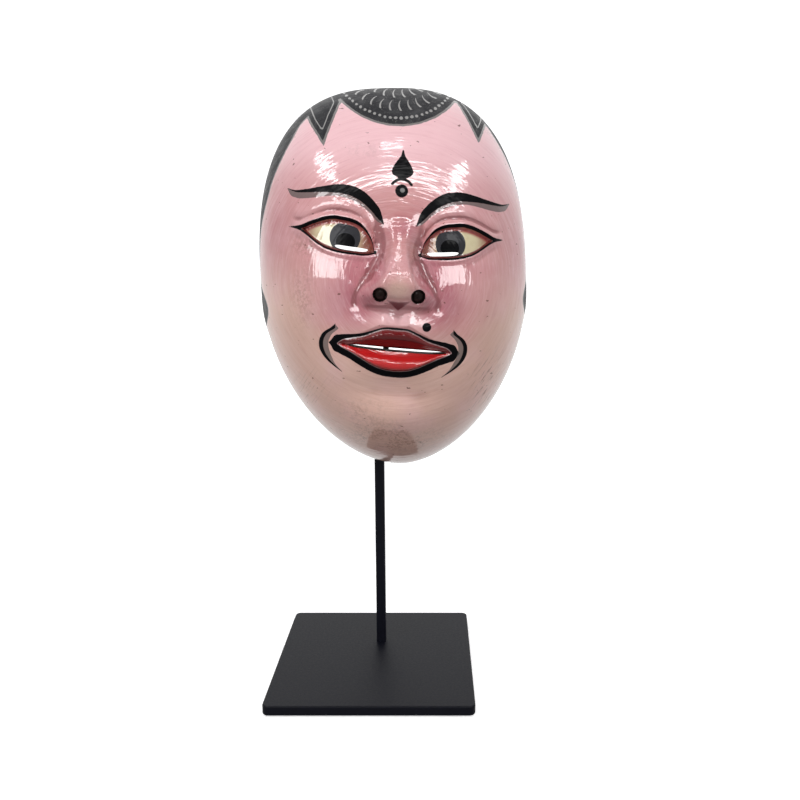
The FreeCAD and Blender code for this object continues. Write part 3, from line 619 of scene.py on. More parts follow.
def eye_fields(x, z):
    side = np.abs(x - EYE_MIDDLE)
    ends = past_ends(side, EYE_START - 0.7, TAIL_END)
    top, low = eye_top(side), eye_low(side)
    out = np.minimum(top + eye_top_line(side) - z, z - low + eye_low_line(side)) - ends
    inner_ends = past_ends(side, EYE_START, EYE_END)
    return out, top - z - inner_ends, z - low - inner_ends


def ball_fields(x, z):
    side = np.abs(x - EYE_MIDDLE)
    iris = IRIS_RADIUS - np.hypot(side - IRIS_AT[0], z - IRIS_AT[1])
    pupil = PUPIL_RADIUS - np.hypot(side - PUPIL_AT[0], (z - PUPIL_AT[1]) * 1.15)
    # The wedge under the nose tip: dark maroon paint that is also painted shadow under the nose.
    wedge = 4.2 - np.abs(x) * 0.9 + (z + 1.2)
    under = np.minimum(wedge, -1.6 - z + 0.12 * np.abs(x))
    return iris, pupil, under


def lip_fields(x, z):
    side, level = mouth_place(x, z)
    out = np.minimum(lip_top(side) - level, level - lip_low(side)) - past_ends(side, 0, LIP_END)
    return out, inside_red(side, level), level - MOUTH_LEVEL


def brow_fields(x, z):
    side = np.abs(x - BROW_MIDDLE)
    ends = past_ends(side, BROW_START, BROW_END)
    return brow_top(side) - z - ends, z - brow_mid(side), z - brow_low(side) - ends


def smile_fields(x, z):
    side = np.abs(x - SMILE_MIDDLE)
    ends = past_ends(z, SMILE_LOW, SMILE_TOP)
    outer = smile_outer(z)
    black = outer - smile_black(z)
    return outer - side - ends, side - black, side - black + smile_grey(z) - ends


def mark_fields(x, z):
    drop = mark_half(z) - np.abs(x - MARK_MIDDLE) - 2 * past_ends(z, MARK_LOW, MARK_TOP)
    away = np.hypot(x - MARK_MIDDLE, z - DOT_LEVEL)
    arc = ARC_HALF - np.abs(away - ARC_RADIUS)
    arc = np.minimum(arc, 1.3 * (z - DOT_LEVEL) - np.abs(x - MARK_MIDDLE) + 1.4)
    mole = MOLE_RADIUS - np.hypot(x - MOLE_AT[0], z - MOLE_AT[1])
    ink = np.maximum(np.maximum(drop, arc), np.maximum(DOT_RADIUS - away, mole))
    # A grey spot in the forehead dot: a painted highlight.
    painted_glint = 1 - np.hypot(x - MARK_MIDDLE - 0.3, z - DOT_LEVEL - 0.3)
    pit = NOSTRIL_RADIUS - np.hypot(np.abs(x) - NOSTRIL_AT[0], z - NOSTRIL_AT[1])
    return ink, painted_glint, pit


def tone_fields(x, z):
    """Rose paint, with painted shade beside the nose, the beige of the jaw, and the paler pink of the forehead
    and, as painted light, of the muzzle, from 0 to 1.
    """
    side = np.abs(x)
    rose_and_shade = swellings(side, z, SIDE_BLUSH_AND_SHADE) + swellings(x, z, MIDDLE_BLUSH)
    jaw = smooth((-4 - z + 0.25 * side) / 30) + 0.5 * bump(side, z, 52, 0, 14, 22)
    jaw = jaw + swellings(x, z, MIDDLE_BEIGE)
    # The patch over the muzzle, between nose and upper lip, is painted light.
    pale = smooth((z - 40) / 26) + 0.8 * bump(x, z, 0, -8.5, 13, 4)
    return np.clip(rose_and_shade, 0, 1), np.clip(jaw, 0, 1), np.clip(pale, 0, 1)


def wear_fields(x, z):
    """Where dirt and scratches gather, from 0 to 1, and a distance across the scratches."""
    dirt, scratched = swellings(x, z, DIRTY), swellings(x, z, SCRATCHED)
    return np.clip(dirt, 0, 1), np.clip(scratched, 0, 1), x * 0.87 - z * 0.5


PAINTED = {
    "eye": eye_fields, "ball": ball_fields, "lips": lip_fields, "brow": brow_fields,
    "smile": smile_fields, "marks": mark_fields, "tone": tone_fields, "wear": wear_fields,
}


def read(items, key, width, kind=float):
    """One property of a mesh's vertices or edges, a row for each."""
    values = np.zeros(len(items) * width, kind)
    items.foreach_get(key, values)
    return values.reshape(-1, width)


def crease_field(mesh):
    """How hollow the surface is at each vertex, from -1 on edges to 1 in creases."""
    count = len(mesh.vertices)
    places = read(mesh.vertices, "co", 3) / MM
    a, b = read(mesh.edges, "vertices", 2, int).T
    links = np.bincount(a, minlength=count) + np.bincount(b, minlength=count)

    def averaged(values):
        total = [
            np.bincount(a, values[b, k], count) + np.bincount(b, values[a, k], count)
            for k in range(values.shape[1])
        ]
        return np.stack(total, axis=1) / np.maximum(links, 1)[:, None]

    blurred = places
    for _ in range(14):
        blurred = averaged(blurred)
    normals = read(mesh.vertex_normals, "vector", 3)
    hollow = ((blurred - places) * normals).sum(axis=1)[:, None]
    for _ in range(3):
        hollow = averaged(hollow)
    return np.clip(hollow[:, 0] / 0.22, -1, 1)


def store(mesh, name, *fields):
    """Keeps up to three numbers for each vertex as one vector attribute."""
    columns = list(fields) + [np.zeros(len(mesh.vertices))] * (3 - len(fields))
    attribute = mesh.attributes.new(name, "FLOAT_VECTOR", "POINT")
    attribute.data.foreach_set("vector", np.stack(columns, axis=1).astype(np.float32).ravel())


def paint_fields(mesh):
    egg = shared_to_egg(read(mesh.vertices, "co", 3))
    face = egg_to_face(egg)
    x, z, depth = face[:, 0], face[:, 2], -face[:, 1]
    store(mesh, "spot", x, z, depth)
    store(mesh, "crown", egg[:, 0] - HAIR_MIDDLE, egg[:, 2] - CROWN_LEVEL, -egg[:, 1])
    store(mesh, "hair", *hair_fields(egg))
    for name, fields in PAINTED.items():
        store(mesh, name, *fields(x, z))
    store(mesh, "crease", crease_field(mesh))
    turn, away = np.arctan2(z - BRUSH_LEVEL, x), np.hypot(x, z - BRUSH_LEVEL)
    store(mesh, "brush", 2.6 * np.cos(turn), 2.6 * np.sin(turn), away)


# ---- materials


def colour(red, green, blue):
    """A colour given as eyes see it, 0 to 255, as the shader's linear one."""

    def linear(part):
        part /= 255
        return part / 12.92 if part <= 0.04045 else ((part + 0.055) / 1.055) ** 2.4

    return (linear(red), linear(green), linear(blue), 1)


class Nodes:
    """A node tree. Each call adds a node and gives back its output."""

    def __init__(self, tree):
        self.tree = tree

    def node(self, kind, inputs, **settings):
        made = self.tree.nodes.new(kind)
        for key, setting in settings.items():
            setattr(made, key, setting)
        for key, given in inputs.items():
            if isinstance(given, bpy.types.NodeSocket):
                self.tree.links.new(given, made.inputs[key])
            else:
                made.inputs[key].default_value = given
        return made

    def math(self, operation, a, b=0):
        return self.node("ShaderNodeMath", {0: a, 1: b}, operation=operation).outputs[0]

    def times(self, a, b):
        return self.math("MULTIPLY", a, b)

    def minus(self, a, b):
        return self.math("SUBTRACT", a, b)

    def plus(self, a, b):
        return self.math("ADD", a, b)

    def length(self, a, b):
        return self.math("SQRT", self.plus(self.times(a, a), self.times(b, b)))

    def range(self, value, low, high, to_low=0, to_high=1):
        inputs = {0: value, 1: low, 2: high, 3: to_low, 4: to_high}
        return self.node("ShaderNodeMapRange", inputs, interpolation_type="SMOOTHSTEP").outputs[0]


class Paint(Nodes):
    """A material's nodes."""

    def __init__(self, name):
        self.material = bpy.data.materials.new(name)
        self.material.use_nodes = True
        super().__init__(self.material.node_tree)
        self.tree.nodes.clear()

    def kept(self, name):
        """The vector that the mesh keeps under a name."""
        return self.node("ShaderNodeAttribute", {}, attribute_name=name).outputs["Vector"]

    def fields(self, name):
        """The three numbers of a kept vector."""
        return self.node("ShaderNodeSeparateXYZ", {0: self.kept(name)}).outputs

    def scaled(self, where, stretch):
        inputs = {0: where, 1: stretch}
        return self.node("ShaderNodeVectorMath", inputs, operation="MULTIPLY").outputs[0]

    def place(self, stretch=(1, 1, 1), name="spot"):
        """Coordinates in mm that stick to the surface, scaled along each way."""
        return self.scaled(self.kept(name), stretch)

    def object_place(self):
        """Coordinates of a piece in mm."""
        where = self.node("ShaderNodeTexCoord", {}).outputs["Object"]
        return self.scaled(where, (1 / MM,) * 3)

    def noise(self, where, size, detail=3, rough=0.55, twist=0):
        """Noise from 0 to 1, whose blobs are about size mm across."""
        inputs = {"Vector": where, "Scale": 1 / size, "Detail": detail}
        inputs |= {"Roughness": rough, "Distortion": twist}
        return self.node("ShaderNodeTexNoise", inputs).outputs[0]

    def inside(self, field, edge=0, soft=0.12):
        """1 where a field is over edge, 0 where it is under, with a soft step."""
        return self.range(field, edge - soft, edge + soft)

    def both(self, *masks):
        made = masks[0]
        for mask in masks[1:]:
            made = self.times(made, mask)
        return made

    def mix(self, share, below, above):
        inputs = {0: share, 6: below, 7: above}
        return self.node("ShaderNodeMix", inputs, data_type="RGBA").outputs[2]

    def bump(self, height, distance, normal=None):
        """A bump of a height map, whose full step is distance mm."""
        inputs = {"Height": height, "Distance": distance * MM, "Strength": 1}
        if normal is not None:
            inputs["Normal"] = normal
        return self.node("ShaderNodeBump", inputs).outputs[0]

    def finish(self, **inputs):
        named = {key.replace("_", " "): given for key, given in inputs.items()}
        shader = self.node("ShaderNodeBsdfPrincipled", named)
        self.node("ShaderNodeOutputMaterial", {0: shader.outputs[0]})
        return self.material


PINK = colour(212, 155, 157)
PINK_PALE = colour(238, 192, 198)
PINK_ROSE = colour(168, 76, 94)
JAW = colour(226, 187, 170)
DIRT = colour(102, 62, 48)
HAIR = colour(44, 44, 47)
HAIR_LINE = colour(122, 118, 116)
INK = colour(5, 5, 8)
GREY = colour(88, 82, 80)
SCLERA = colour(226, 216, 180)
IRIS = colour(52, 52, 56)
RIM_RED = colour(168, 84, 80)
# The upper lip's darker red is painted shade, as it faces down.
LIP_SHADED_UPPER = colour(104, 8, 12)
LIP_BRIGHT = colour(180, 14, 16)


def wobbly(p, field, by=0.22, size=2.2):
    """A field whose edge wanders a little, as a brush does."""
    wander = p.noise(p.place(), size, 2)
    return p.plus(field, p.times(p.minus(wander, 0.5), by * 2))


def skin_colour(p):
    """Pink skin with rose paint, a beige jaw, brush marks, and painted shade in the creases."""
    rose_and_shade, jaw, brow = p.fields("tone")
    streaks = p.noise(p.place((1.2, 1.2, 0.9), "brush"), 1, 5, 0.62, 0.9)
    clouds = p.noise(p.place(), 17, 3, 0.5)
    # Paler pink on the forehead, and over the muzzle as painted light.
    tint = p.mix(brow, PINK, PINK_PALE)
    tint = p.mix(p.times(jaw, 0.85), tint, JAW)
    # Rose paint, which beside the nose and down the fold is also painted shade.
    rose_and_shade_share = p.times(rose_and_shade, p.range(clouds, 0.2, 0.7, 0.55, 1))
    tint = p.mix(p.times(rose_and_shade_share, 0.85), tint, PINK_ROSE)
    tint = p.mix(p.range(clouds, 0.42, 0.75, 0, 0.3), tint, PINK_PALE)
    tint = p.mix(p.range(streaks, 0.45, 0.75, 0, 0.18), tint, colour(246, 214, 214))
    tint = p.mix(p.range(streaks, 0.5, 0.25, 0, 0.16), tint, PINK_ROSE)
    # Painted shade: a darker rose-brown where the surface is hollow, in the creases.
    hollow = p.fields("crease")[0]
    return p.mix(p.range(hollow, 0.12, 0.9, 0, 0.62), tint, colour(126, 64, 66))


def with_hair(p, tint):
    """Dark hair with a grey border, a ring of beads and rows of curls on the crown."""
    hair, crown, spikes = p.fields("hair")
    field = wobbly(p, hair, 0.3, 3)
    cloud = p.noise(p.place(), 6, 4, 0.6)
    dark = p.mix(p.range(cloud, 0.3, 0.8), HAIR, colour(66, 66, 68))
    tint = p.mix(p.inside(field), tint, HAIR_LINE)
    strands = p.noise(p.place((1.5, 1.5, 0.1), "crown"), 1, 3, 0.6, 0.5)
    dark = p.mix(p.range(strands, 0.58, 0.7, 0, 0.4), dark, colour(118, 116, 114))
    tint = p.mix(p.inside(field, 0.95), tint, dark)
    x, z, _ = p.fields("crown")
    radius = p.length(x, z)
    angle = p.math("ARCTAN2", x, p.times(z, -1))
    strokes = p.math("MAXIMUM", crown_beads(p, radius, angle), crown_curls(p, radius, angle))
    edge = p.math("ABSOLUTE", p.minus(wobbly(p, spikes, 0.25, 4), 3.1))
    line = p.inside(p.times(edge, -1), -0.22, 0.1)
    off_crown = p.minus(1, p.inside(crown, -2, 0.5))
    strokes = p.math("MAXIMUM", strokes, p.both(line, off_crown))
    return p.mix(p.times(strokes, 0.8), tint, colour(160, 158, 156))


def repeat(p, value, spacing):
    """The signed distance from the nearest of evenly spaced places, and its number."""
    count = p.math("DIVIDE", value, spacing)
    number = p.math("ROUND", count)
    return p.times(p.minus(count, number), spacing), number


def crown_beads(p, radius, angle):
    offset, _ = repeat(p, angle, BEAD_SPACING / BEAD_RING)
    along = p.times(offset, radius)
    across = p.minus(radius, BEAD_RING)
    sway = p.noise(p.place(), 3, 1)
    bead = p.range(sway, 0.3, 0.7, 0.5, 0.85)
    return p.inside(p.minus(bead, p.length(along, across)), 0, 0.15)


def crown_curls(p, radius, angle):
    """Rows of comma strokes, each bowed and thicker at its foot."""
    up, row = repeat(p, p.minus(radius, CURL_RING), CURL_ROW)
    row_middle = p.plus(p.times(row, CURL_ROW), CURL_RING)
    spacing = p.math("DIVIDE", CURL_SPACING, p.math("MAXIMUM", row_middle, 3))
    stagger = p.times(p.times(row, spacing), 0.5)
    offset, _ = repeat(p, p.plus(angle, stagger), spacing)
    along = p.times(offset, radius)
    bow = p.minus(p.times(p.times(up, up), 0.11), 0.5)
    away = p.math("ABSOLUTE", p.minus(along, bow))
    width = p.range(up, -2.6, 2.4, 0.16, 0.42)
    line = p.inside(p.minus(width, away), 0, 0.1)
    ends = p.inside(p.minus(2.6, p.math("ABSOLUTE", up)), 0, 0.2)
    beads = p.inside(p.minus(CROWN_RADIUS - 6.2, radius), 0, 0.2)
    return p.both(line, ends, beads)


def with_brows(p, tint):
    top, mid, low = (wobbly(p, field, 0.15, 2) for field in p.fields("brow"))
    below_top = p.inside(top)
    tint = p.mix(p.both(below_top, p.inside(low), 0.85), tint, GREY)
    return p.mix(p.both(below_top, p.inside(mid)), tint, INK)


def with_eyes(p, tint):
    out, top, low = (wobbly(p, field, 0.1, 1.6) for field in p.fields("eye"))
    iris, pupil, under = p.fields("ball")
    # Dark maroon wedge under the nose tip, also painted shadow under the nose.
    tint = p.mix(p.times(p.inside(under, 0, 0.5), 0.95), tint, colour(96, 14, 30))
    tint = p.mix(p.inside(out), tint, INK)
    tint = p.mix(p.both(p.inside(top, 0.15), p.inside(low, 0.2)), tint, RIM_RED)
    white = p.both(p.inside(top, 2.1, 0.7), p.inside(low, 1, 0.4))
    mottled = p.mix(p.noise(p.place(), 2.5), SCLERA, colour(206, 190, 150))
    side = p.math("ABSOLUTE", p.minus(p.fields("spot")[0], EYE_MIDDLE))
    corners = p.plus(p.range(side, 20, 13, 0, 0.95), p.range(side, 32.5, 40, 0, 0.8))
    mottled = p.mix(corners, mottled, colour(146, 78, 66))
    tint = p.mix(white, tint, mottled)
    tint = p.mix(p.both(p.inside(iris), p.inside(top, 1.5, 0.2), p.inside(low, 0.6)), tint, IRIS)
    tint = p.mix(p.both(p.inside(pupil), p.inside(low, 0.6)), tint, INK)
    corner = p.both(p.inside(low), p.minus(1, p.inside(low, 1, 0.3)), p.inside(top))
    return p.mix(p.times(corner, 0.75), tint, colour(60, 24, 22))


def with_lips(p, tint):
    out, red, level = p.fields("lips")
    tint = p.mix(p.inside(wobbly(p, out, 0.15, 2)), tint, INK)
    red = wobbly(p, red, 0.12, 1.5)
    gap = p.inside(red, -0.35, 0.1)
    tint = p.mix(p.times(gap, 0.55), tint, colour(190, 150, 150))
    shade = p.mix(p.noise(p.place((0.3, 1, 1)), 2.4), LIP_BRIGHT, colour(196, 34, 36))
    # The upper lip takes the darker red: painted shade.
    lower = p.mix(p.range(level, -0.6, 0.6), shade, LIP_SHADED_UPPER)
    return p.mix(p.inside(red, 0.1, 0.1), tint, lower)


def with_marks(p, tint):
    outer, mid, inner = (wobbly(p, field, 0.15, 2) for field in p.fields("smile"))
    tint = p.mix(p.both(p.inside(outer), p.inside(inner), 0.8), tint, GREY)
    tint = p.mix(p.both(p.inside(outer), p.inside(mid)), tint, INK)
    ink, painted_glint, pit = p.fields("marks")
    tint = p.mix(p.inside(wobbly(p, ink, 0.12, 1.4)), tint, INK)
    # Painted highlight in the forehead dot.
    tint = p.mix(p.inside(painted_glint, 0, 0.25), tint, colour(128, 126, 126))
    return p.mix(p.inside(wobbly(p, pit, 0.2, 1.2)), tint, colour(34, 24, 22))


def with_wear(p, tint):
    """Brown specks and dirt where hands and air leave them, and scratches on the jaw."""
    dirt, scratched, across = p.fields("wear")
    specks = p.noise(p.place((1, 1.6, 1)), 3.4, 2)
    tint = p.mix(p.times(p.inside(specks, 0.722, 0.012), 0.75), tint, DIRT)
    fine = p.noise(p.place(), 1.5, 6, 0.75)
    patches = p.noise(p.place(), 7, 3)
    grime = p.both(dirt, p.range(fine, 0.45, 0.56), p.range(patches, 0.32, 0.55))
    tint = p.mix(p.times(grime, 0.75), tint, DIRT)
    x, z, _ = p.fields("spot")
    along = p.plus(p.times(x, 0.5), p.times(z, 0.87))
    where = p.node("ShaderNodeCombineXYZ", {0: across, 1: p.times(along, 0.07)}).outputs[0]
    lines = p.noise(where, 0.9, 4, 0.7)
    scratches = p.both(scratched, p.range(lines, 0.53, 0.64))
    return p.mix(p.times(scratches, 0.75), tint, colour(104, 58, 34))


def painted_skin():
    """Hand-painted, varnished wood."""
    p = Paint("painted_skin")
    tint = with_hair(p, with_wear(p, skin_colour(p)))
    tint = with_marks(p, with_lips(p, with_eyes(p, with_brows(p, tint))))
    streaks = p.noise(p.place((1.6, 1.6, 0.9), "brush"), 1, 5, 0.66, 1.2)
    ripple = p.noise(p.place((0.5, 1, 1)), 5, 2)
    strokes = p.noise(p.place((0.75, 0.75, 0.4), "brush"), 1, 2, 0.45, 1.2)
    normal = p.bump(strokes, 0.17)
    normal = p.bump(ripple, 0.12, normal)
    red = p.node("ShaderNodeSeparateColor", {0: tint}).outputs[0]
    return p.finish(
        Base_Color=tint,
        Roughness=p.range(streaks, 0.3, 0.7, 0.38, 0.5),
        Normal=normal,
        Specular_IOR_Level=0.06,
        Coat_Weight=p.range(red, 0.005, 0.2, 0.05, 1),
        Coat_Roughness=0.07,
        Coat_IOR=1.9,
        Coat_Normal=normal,
    )


def bare_wood():
    """Pale carved wood, stained by handling, with painted shade deeper in the hollow and its grain running up the
    mask.
    """
    p = Paint("bare_wood")
    grain = p.noise(p.place((1, 0.08, 1)), 0.8, 5, 0.65, 0.3)
    clouds = p.noise(p.place(), 22, 3)
    tint = p.mix(grain, colour(150, 112, 74), colour(196, 160, 114))
    tint = p.mix(p.range(clouds, 0.4, 0.75, 0, 0.6), tint, colour(110, 76, 50))
    # Painted shade: darker the deeper into the hollow.
    depth = p.fields("spot")[2]
    tint = p.mix(p.range(depth, 4, 40, 0, 0.45), tint, colour(84, 56, 36))
    rings = p.noise(p.place((0.35, 1, 0.05)), 1.6, 2, 0.5, 0.6)
    tint = p.mix(p.range(rings, 0.5, 0.62, 0, 0.35), tint, colour(104, 70, 44))
    return p.finish(Base_Color=tint, Roughness=0.62, Normal=p.bump(grain, 0.12))


def cut_wood():
    """The dark, smoothed walls of the slits."""
    p = Paint("slit_wood")
    grain = p.noise(p.place((1, 1, 0.15)), 0.7, 4)
    tint = p.mix(grain, colour(46, 26, 20), colour(84, 52, 38))
    return p.finish(Base_Color=tint, Roughness=0.55, Normal=p.bump(grain, 0.05))


def powder_coat():
    """Satin black powder coat with its fine orange peel."""
    p = Paint("powder_coat")
    peel = p.noise(p.object_place(), 0.5, 3, 0.6)
    dust = p.noise(p.object_place(), 1.2, 4, 0.6)
    tint = p.mix(p.range(dust, 0.45, 0.8, 0, 0.5), colour(7, 8, 18), colour(17, 18, 34))
    return p.finish(
        Base_Color=tint,
        Roughness=p.range(dust, 0.3, 0.7, 0.42, 0.52),
        Normal=p.bump(peel, 0.045),
        Specular_IOR_Level=0.22,
    )


def felt():
    p = Paint("felt")
    fibres = p.noise(p.object_place(), 0.35, 6, 0.8, 1.5)
    tint = p.mix(fibres, colour(14, 14, 15), colour(48, 48, 50))
    return p.finish(Base_Color=tint, Roughness=0.95, Normal=p.bump(fibres, 0.2), Sheen_Weight=0.3)


def metal(name, dark, light, rough, size):
    """A metal with fine scratches and duller patches."""
    p = Paint(name)
    scratches = p.noise(p.object_place(), size, 4, 0.65)
    patches = p.noise(p.object_place(), 3, 3)
    return p.finish(
        Base_Color=p.mix(patches, dark, light),
        Metallic=1,
        Roughness=p.range(scratches, 0.3, 0.7, rough - 0.08, rough + 0.1),
        Normal=p.bump(scratches, 0.01),
    )


def nylon():
    p = Paint("nylon_natural")
    cloud = p.noise(p.object_place(), 1.2, 3)
    tint = p.mix(cloud, colour(214, 208, 190), colour(232, 228, 214))
    return p.finish(Base_Color=tint, Roughness=0.42, Normal=p.bump(cloud, 0.02))


def leather():
    """Worn brown leather, with darker cloudy patches and a darker grain."""
    p = Paint("worn_leather")
    grain = p.node("ShaderNodeTexVoronoi", {"Vector": p.object_place(), "Scale": 1.5})
    cells = grain.outputs["Distance"]
    clouds = p.noise(p.object_place(), 7, 4)
    tint = p.mix(clouds, colour(74, 42, 26), colour(122, 76, 46))
    tint = p.mix(p.range(cells, 0.5, 0.1, 0, 0.4), tint, colour(50, 28, 18))
    rough = p.range(clouds, 0.3, 0.7, 0.45, 0.65)
    return p.finish(Base_Color=tint, Roughness=rough, Normal=p.bump(cells, 0.12))


# ---- soft pieces


def strap_path():
    """The strap's middle line in the egg frame: a tab on each wall and the bow between."""
    inset = WALL + 1.25
    share = -STRAP_LEVEL / (DOWN - inset)

    def wall(depth):
        shrink = (1 - (depth / (DEEP - inset)) ** POWER_DEEP) ** (1 / POWER_DEEP)
        return (HALF - inset) * (shrink**POWER_DOWN - share**POWER_DOWN) ** (1 / POWER_DOWN)

    tab = [(-wall(depth), depth) for depth in STRAP_TABS]
    reach = -tab[-1][0] - 4.5
    across = np.linspace(-reach, reach, 15)
    span = [(x, STRAP_CROWN - (STRAP_BOW**2 - x * x) ** 0.5) for x in across]
    return np.array(tab + span + [(-x, depth) for x, depth in reversed(tab)])


def tube_faces(rings, count):
    """The side faces between rings of count vertices that follow each other."""
    faces = []
    for i in range(rings - 1):
        for j in range(count):
            a, b = i * count + j, i * count + (j + 1) % count
            faces.append((a, b, b + count, a + count))
    return faces


def strap_section(count):
    """A rounded bar's section, 1 unit being half the width and half the thickness."""
    turns = ring_angles(count)
    across = np.sign(np.cos(turns)) * np.abs(np.cos(turns)) ** 0.22
    thick = np.sign(np.sin(turns)) * np.abs(np.sin(turns)) ** 0.45
    return np.stack([across, thick], axis=1)


def bite_strap(material):
    """Leather strap that follows the wall at both ends and bows across the hollow."""
    path = strap_path()
    steps = np.concatenate([[0], np.cumsum(np.hypot(*np.diff(path, axis=0).T))])
    along = np.linspace(0, steps[-1], 150)
    x, depth = (curve(np.stack([steps, path[:, k]], axis=1))(along) for k in (0, 1))
    run = np.stack([np.gradient(x), np.gradient(depth)], axis=1)
    run /= np.linalg.norm(run, axis=1)[:, None]
    section = strap_section(28)
    middle = ridge(x, 0, 17)
    points = []
    for i in range(len(along)):
        end = min(along[i], along[-1] - along[i])
        narrow = (1 - max(0, 1 - end / 3.5) ** 2) ** 0.5 if end < 3.5 else 1
        for across, deep in section:
            dent = 0.22 * middle[i] * noise.noise(Vector((along[i] / 3, across * 2, deep)))
            wear = 0.12 * noise.noise(Vector((along[i] / 6, across * 3, deep * 2 + 7)))
            thin = (0.35 + 0.65 * narrow) * (1 - 0.12 * middle[i])
            out = deep * STRAP_THICK * thin + dent + wear
            z = STRAP_LEVEL + across * STRAP_WIDE * max(narrow, 0.25) - 0.5 * middle[i]
            points.append((x[i] - run[i][1] * out, -(depth[i] + run[i][0] * out), z))
    count = len(section)
    faces = tube_faces(len(along), count)
    last = (len(along) - 1) * count
    faces += [tuple(range(count)), tuple(range(last + count - 1, last - 1, -1))]
    made = new_object("leather_bite_strap", egg_to_shared(np.array(points)), faces, material)
    outward(made)
    made.data.shade_smooth()
    return made


def felt_sheet(material):
    """Felt under the plate, with a soft, slightly frayed edge."""
    low, high = (np.array(corner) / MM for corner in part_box("felt_sheet"))
    thick = high[2] - low[2]
    half = (high[0] - low[0]) / 2
    middle = (low + high) / 2

    def on_corner(quarter, turn):
        signs = [(1, 1), (-1, 1), (-1, -1), (1, -1)][quarter % 4]
        inner = (half - FELT_CORNER) * np.array(signs)
        return inner + FELT_CORNER * np.array([cos(turn), sin(turn)])

    loop = []
    for quarter in range(4):
        loop += [on_corner(quarter, radians(90 * quarter + 90 * step / 4)) for step in range(5)]
        start, end = loop[-1], on_corner(quarter + 1, radians(90 * (quarter + 1)))
        loop += [start + (end - start) * i / 90 for i in range(1, 90)]
    layers = [(0, 0.35), (0.15, 0.1), (0.5, 0), (0.85, 0.1), (1, 0.35)]
    points = []
    count = len(loop)
    for share, inset in layers:
        for i, (x, y) in enumerate(loop):
            fray = 0.14 * (1 + noise.noise(Vector((x / 0.9, y / 0.9, share * 3)))) + inset
            scale = 1 - fray / half
            points.append((middle[0] + x * scale, middle[1] + y * scale, low[2] + thick * share))
    faces = tube_faces(len(layers), count)
    top = (len(layers) - 1) * count
    faces += [tuple(reversed(range(count))), tuple(range(top, top + count))]
    made = new_object("felt_underlay", np.array(points) * MM, faces, material)
    outward(made)
    return made


# ---- camera, lights and floor


def add_camera():
    data = bpy.data.cameras.new("camera")
    data.lens, data.sensor_width = CAMERA_LENS, 36
    data.shift_x = CAMERA_SHIFT
    data.clip_start, data.clip_end = 0.01, 20
    camera = add_object("camera", data)
    camera.location = Vector(CAMERA_PLACE) * MM
    camera.rotation_euler = (radians(90 - CAMERA_TILT), 0, 0)
    bpy.context.scene.camera = camera


def soft_box(name, azimuth, elevation, away, wide, high, glow):
    a, e = radians(azimuth), radians(elevation)
    aim = Vector((sin(a) * cos(e), -cos(a) * cos(e), sin(e)))
    data = bpy.data.lights.new(name, "AREA")
    data.shape = "RECTANGLE"
    data.size, data.size_y = wide, high
    data.energy = glow * pi * wide * high
    light = add_object(name, data)
    light.location = Vector(BOX_AIM) + aim * away
    light.rotation_euler = aim.to_track_quat("Z", "Y").to_euler()


def studio_world():
    """White surroundings, brightest behind the mask and dim under it."""
    world = bpy.data.worlds.new("studio")
    world.use_nodes = True
    tree = world.node_tree
    sky = tree.nodes["Background"]
    sky.inputs["Color"].default_value = (1, 1, 1, 1)
    p = Nodes(tree)
    where = p.node("ShaderNodeTexCoord", {}).outputs["Generated"]
    _, y, z = p.node("ShaderNodeSeparateXYZ", {0: where}).outputs
    light = p.times(p.range(y, -0.1, 0.8, 0.27, 1), p.range(z, -0.5, 0.2, 0.85, 1))
    tree.links.new(light, sky.inputs["Strength"])
    bpy.context.scene.world = world


def add_lights():
    for name, *setting in SOFT_BOXES:
        soft_box(name, *setting)
    studio_world()
    bpy.context.scene.view_settings.view_transform = "Standard"


def glowing(name, tint, shine):
    """White card lit from behind, brighter away from the object."""
    p = Paint(name)
    cloud = p.noise(p.object_place(), 300, 2)
    paper = p.mix(cloud, tint, colour(252, 252, 252))
    x, y, _ = p.node("ShaderNodeSeparateXYZ", {0: p.object_place()}).outputs
    return p.finish(
        Base_Color=paper,
        Roughness=0.7,
        Emission_Color=(1, 1, 1, 1),
        Emission_Strength=p.range(p.length(x, y), 300, 1600, shine, 1.1),
    )


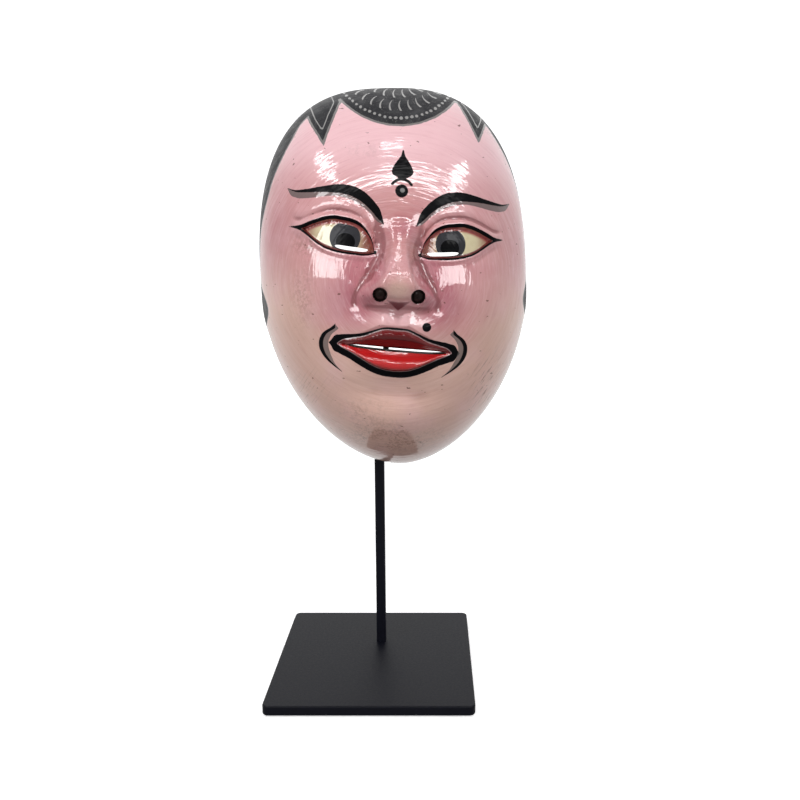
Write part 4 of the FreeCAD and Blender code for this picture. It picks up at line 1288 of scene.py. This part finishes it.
def add_floor():
    """A white floor and a white wall round it, which neither light nor mirror in the object."""
    turns = [2 * pi * i / ROOM_SIDES for i in range(ROOM_SIDES)]
    ground = [(ROOM_RADIUS * cos(turn), ROOM_RADIUS * sin(turn), 0) for turn in turns]
    white = colour(240, 240, 241)
    disc = [tuple(range(ROOM_SIDES))]
    floor = new_object("floor", ground, disc, glowing("pale_floor", white, 0.5))
    rise = ground + [(x, y, ROOM_HEIGHT) for x, y, _ in ground]
    after = [(i + 1) % ROOM_SIDES for i in range(ROOM_SIDES)]
    sides = [(i, ROOM_SIDES + i, ROOM_SIDES + after[i], after[i]) for i in range(ROOM_SIDES)]
    wall = new_object("wall", rise, sides, glowing("pale_wall", white, 1))
    for stage in (floor, wall):
        stage.visible_diffuse = stage.visible_glossy = stage.visible_shadow = False


# ---- everything together


def repaint(node, material):
    """Gives a CAD node a finished material."""
    piece = frame["nodes"][node]
    if not piece.material_slots:
        piece.data.materials.append(material)
    for place in piece.material_slots:
        place.material = material


def build_mask():
    wood, cut = bare_wood(), cut_wood()
    shell = shell_mesh(painted_skin(), wood, cut)
    cut_slits(shell)
    shell.data.shade_smooth()
    shell.data.set_sharp_from_angle(angle=radians(52))
    paint_fields(shell.data)
    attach(shell, "mask")
    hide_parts("mask_shell")


def build_soft_pieces():
    strap = bite_strap(leather())
    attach(strap, "mask")
    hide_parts("bite_strap")
    underlay = felt_sheet(felt())
    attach(underlay, "stand")
    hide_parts("felt_sheet")


def repaint_nodes():
    finishes = {
        "black_coat": powder_coat(),
        "zinc_steel": metal("zinc_plate", colour(150, 150, 144), colour(196, 196, 190), 0.36, 0.3),
        "dark_steel": metal("black_oxide", colour(34, 32, 30), colour(64, 60, 56), 0.45, 0.3),
        "brass": metal("tarnished_brass", colour(146, 108, 52), colour(206, 168, 92), 0.32, 0.25),
        "nylon": nylon(),
    }
    for part in frame["record"]["subparts"]:
        material = finishes.get(part["material_slot"])
        if material is not None:
            repaint(part["node"], material)


add_camera()
add_lights()
add_floor()
build_mask()
build_soft_pieces()
repaint_nodes()
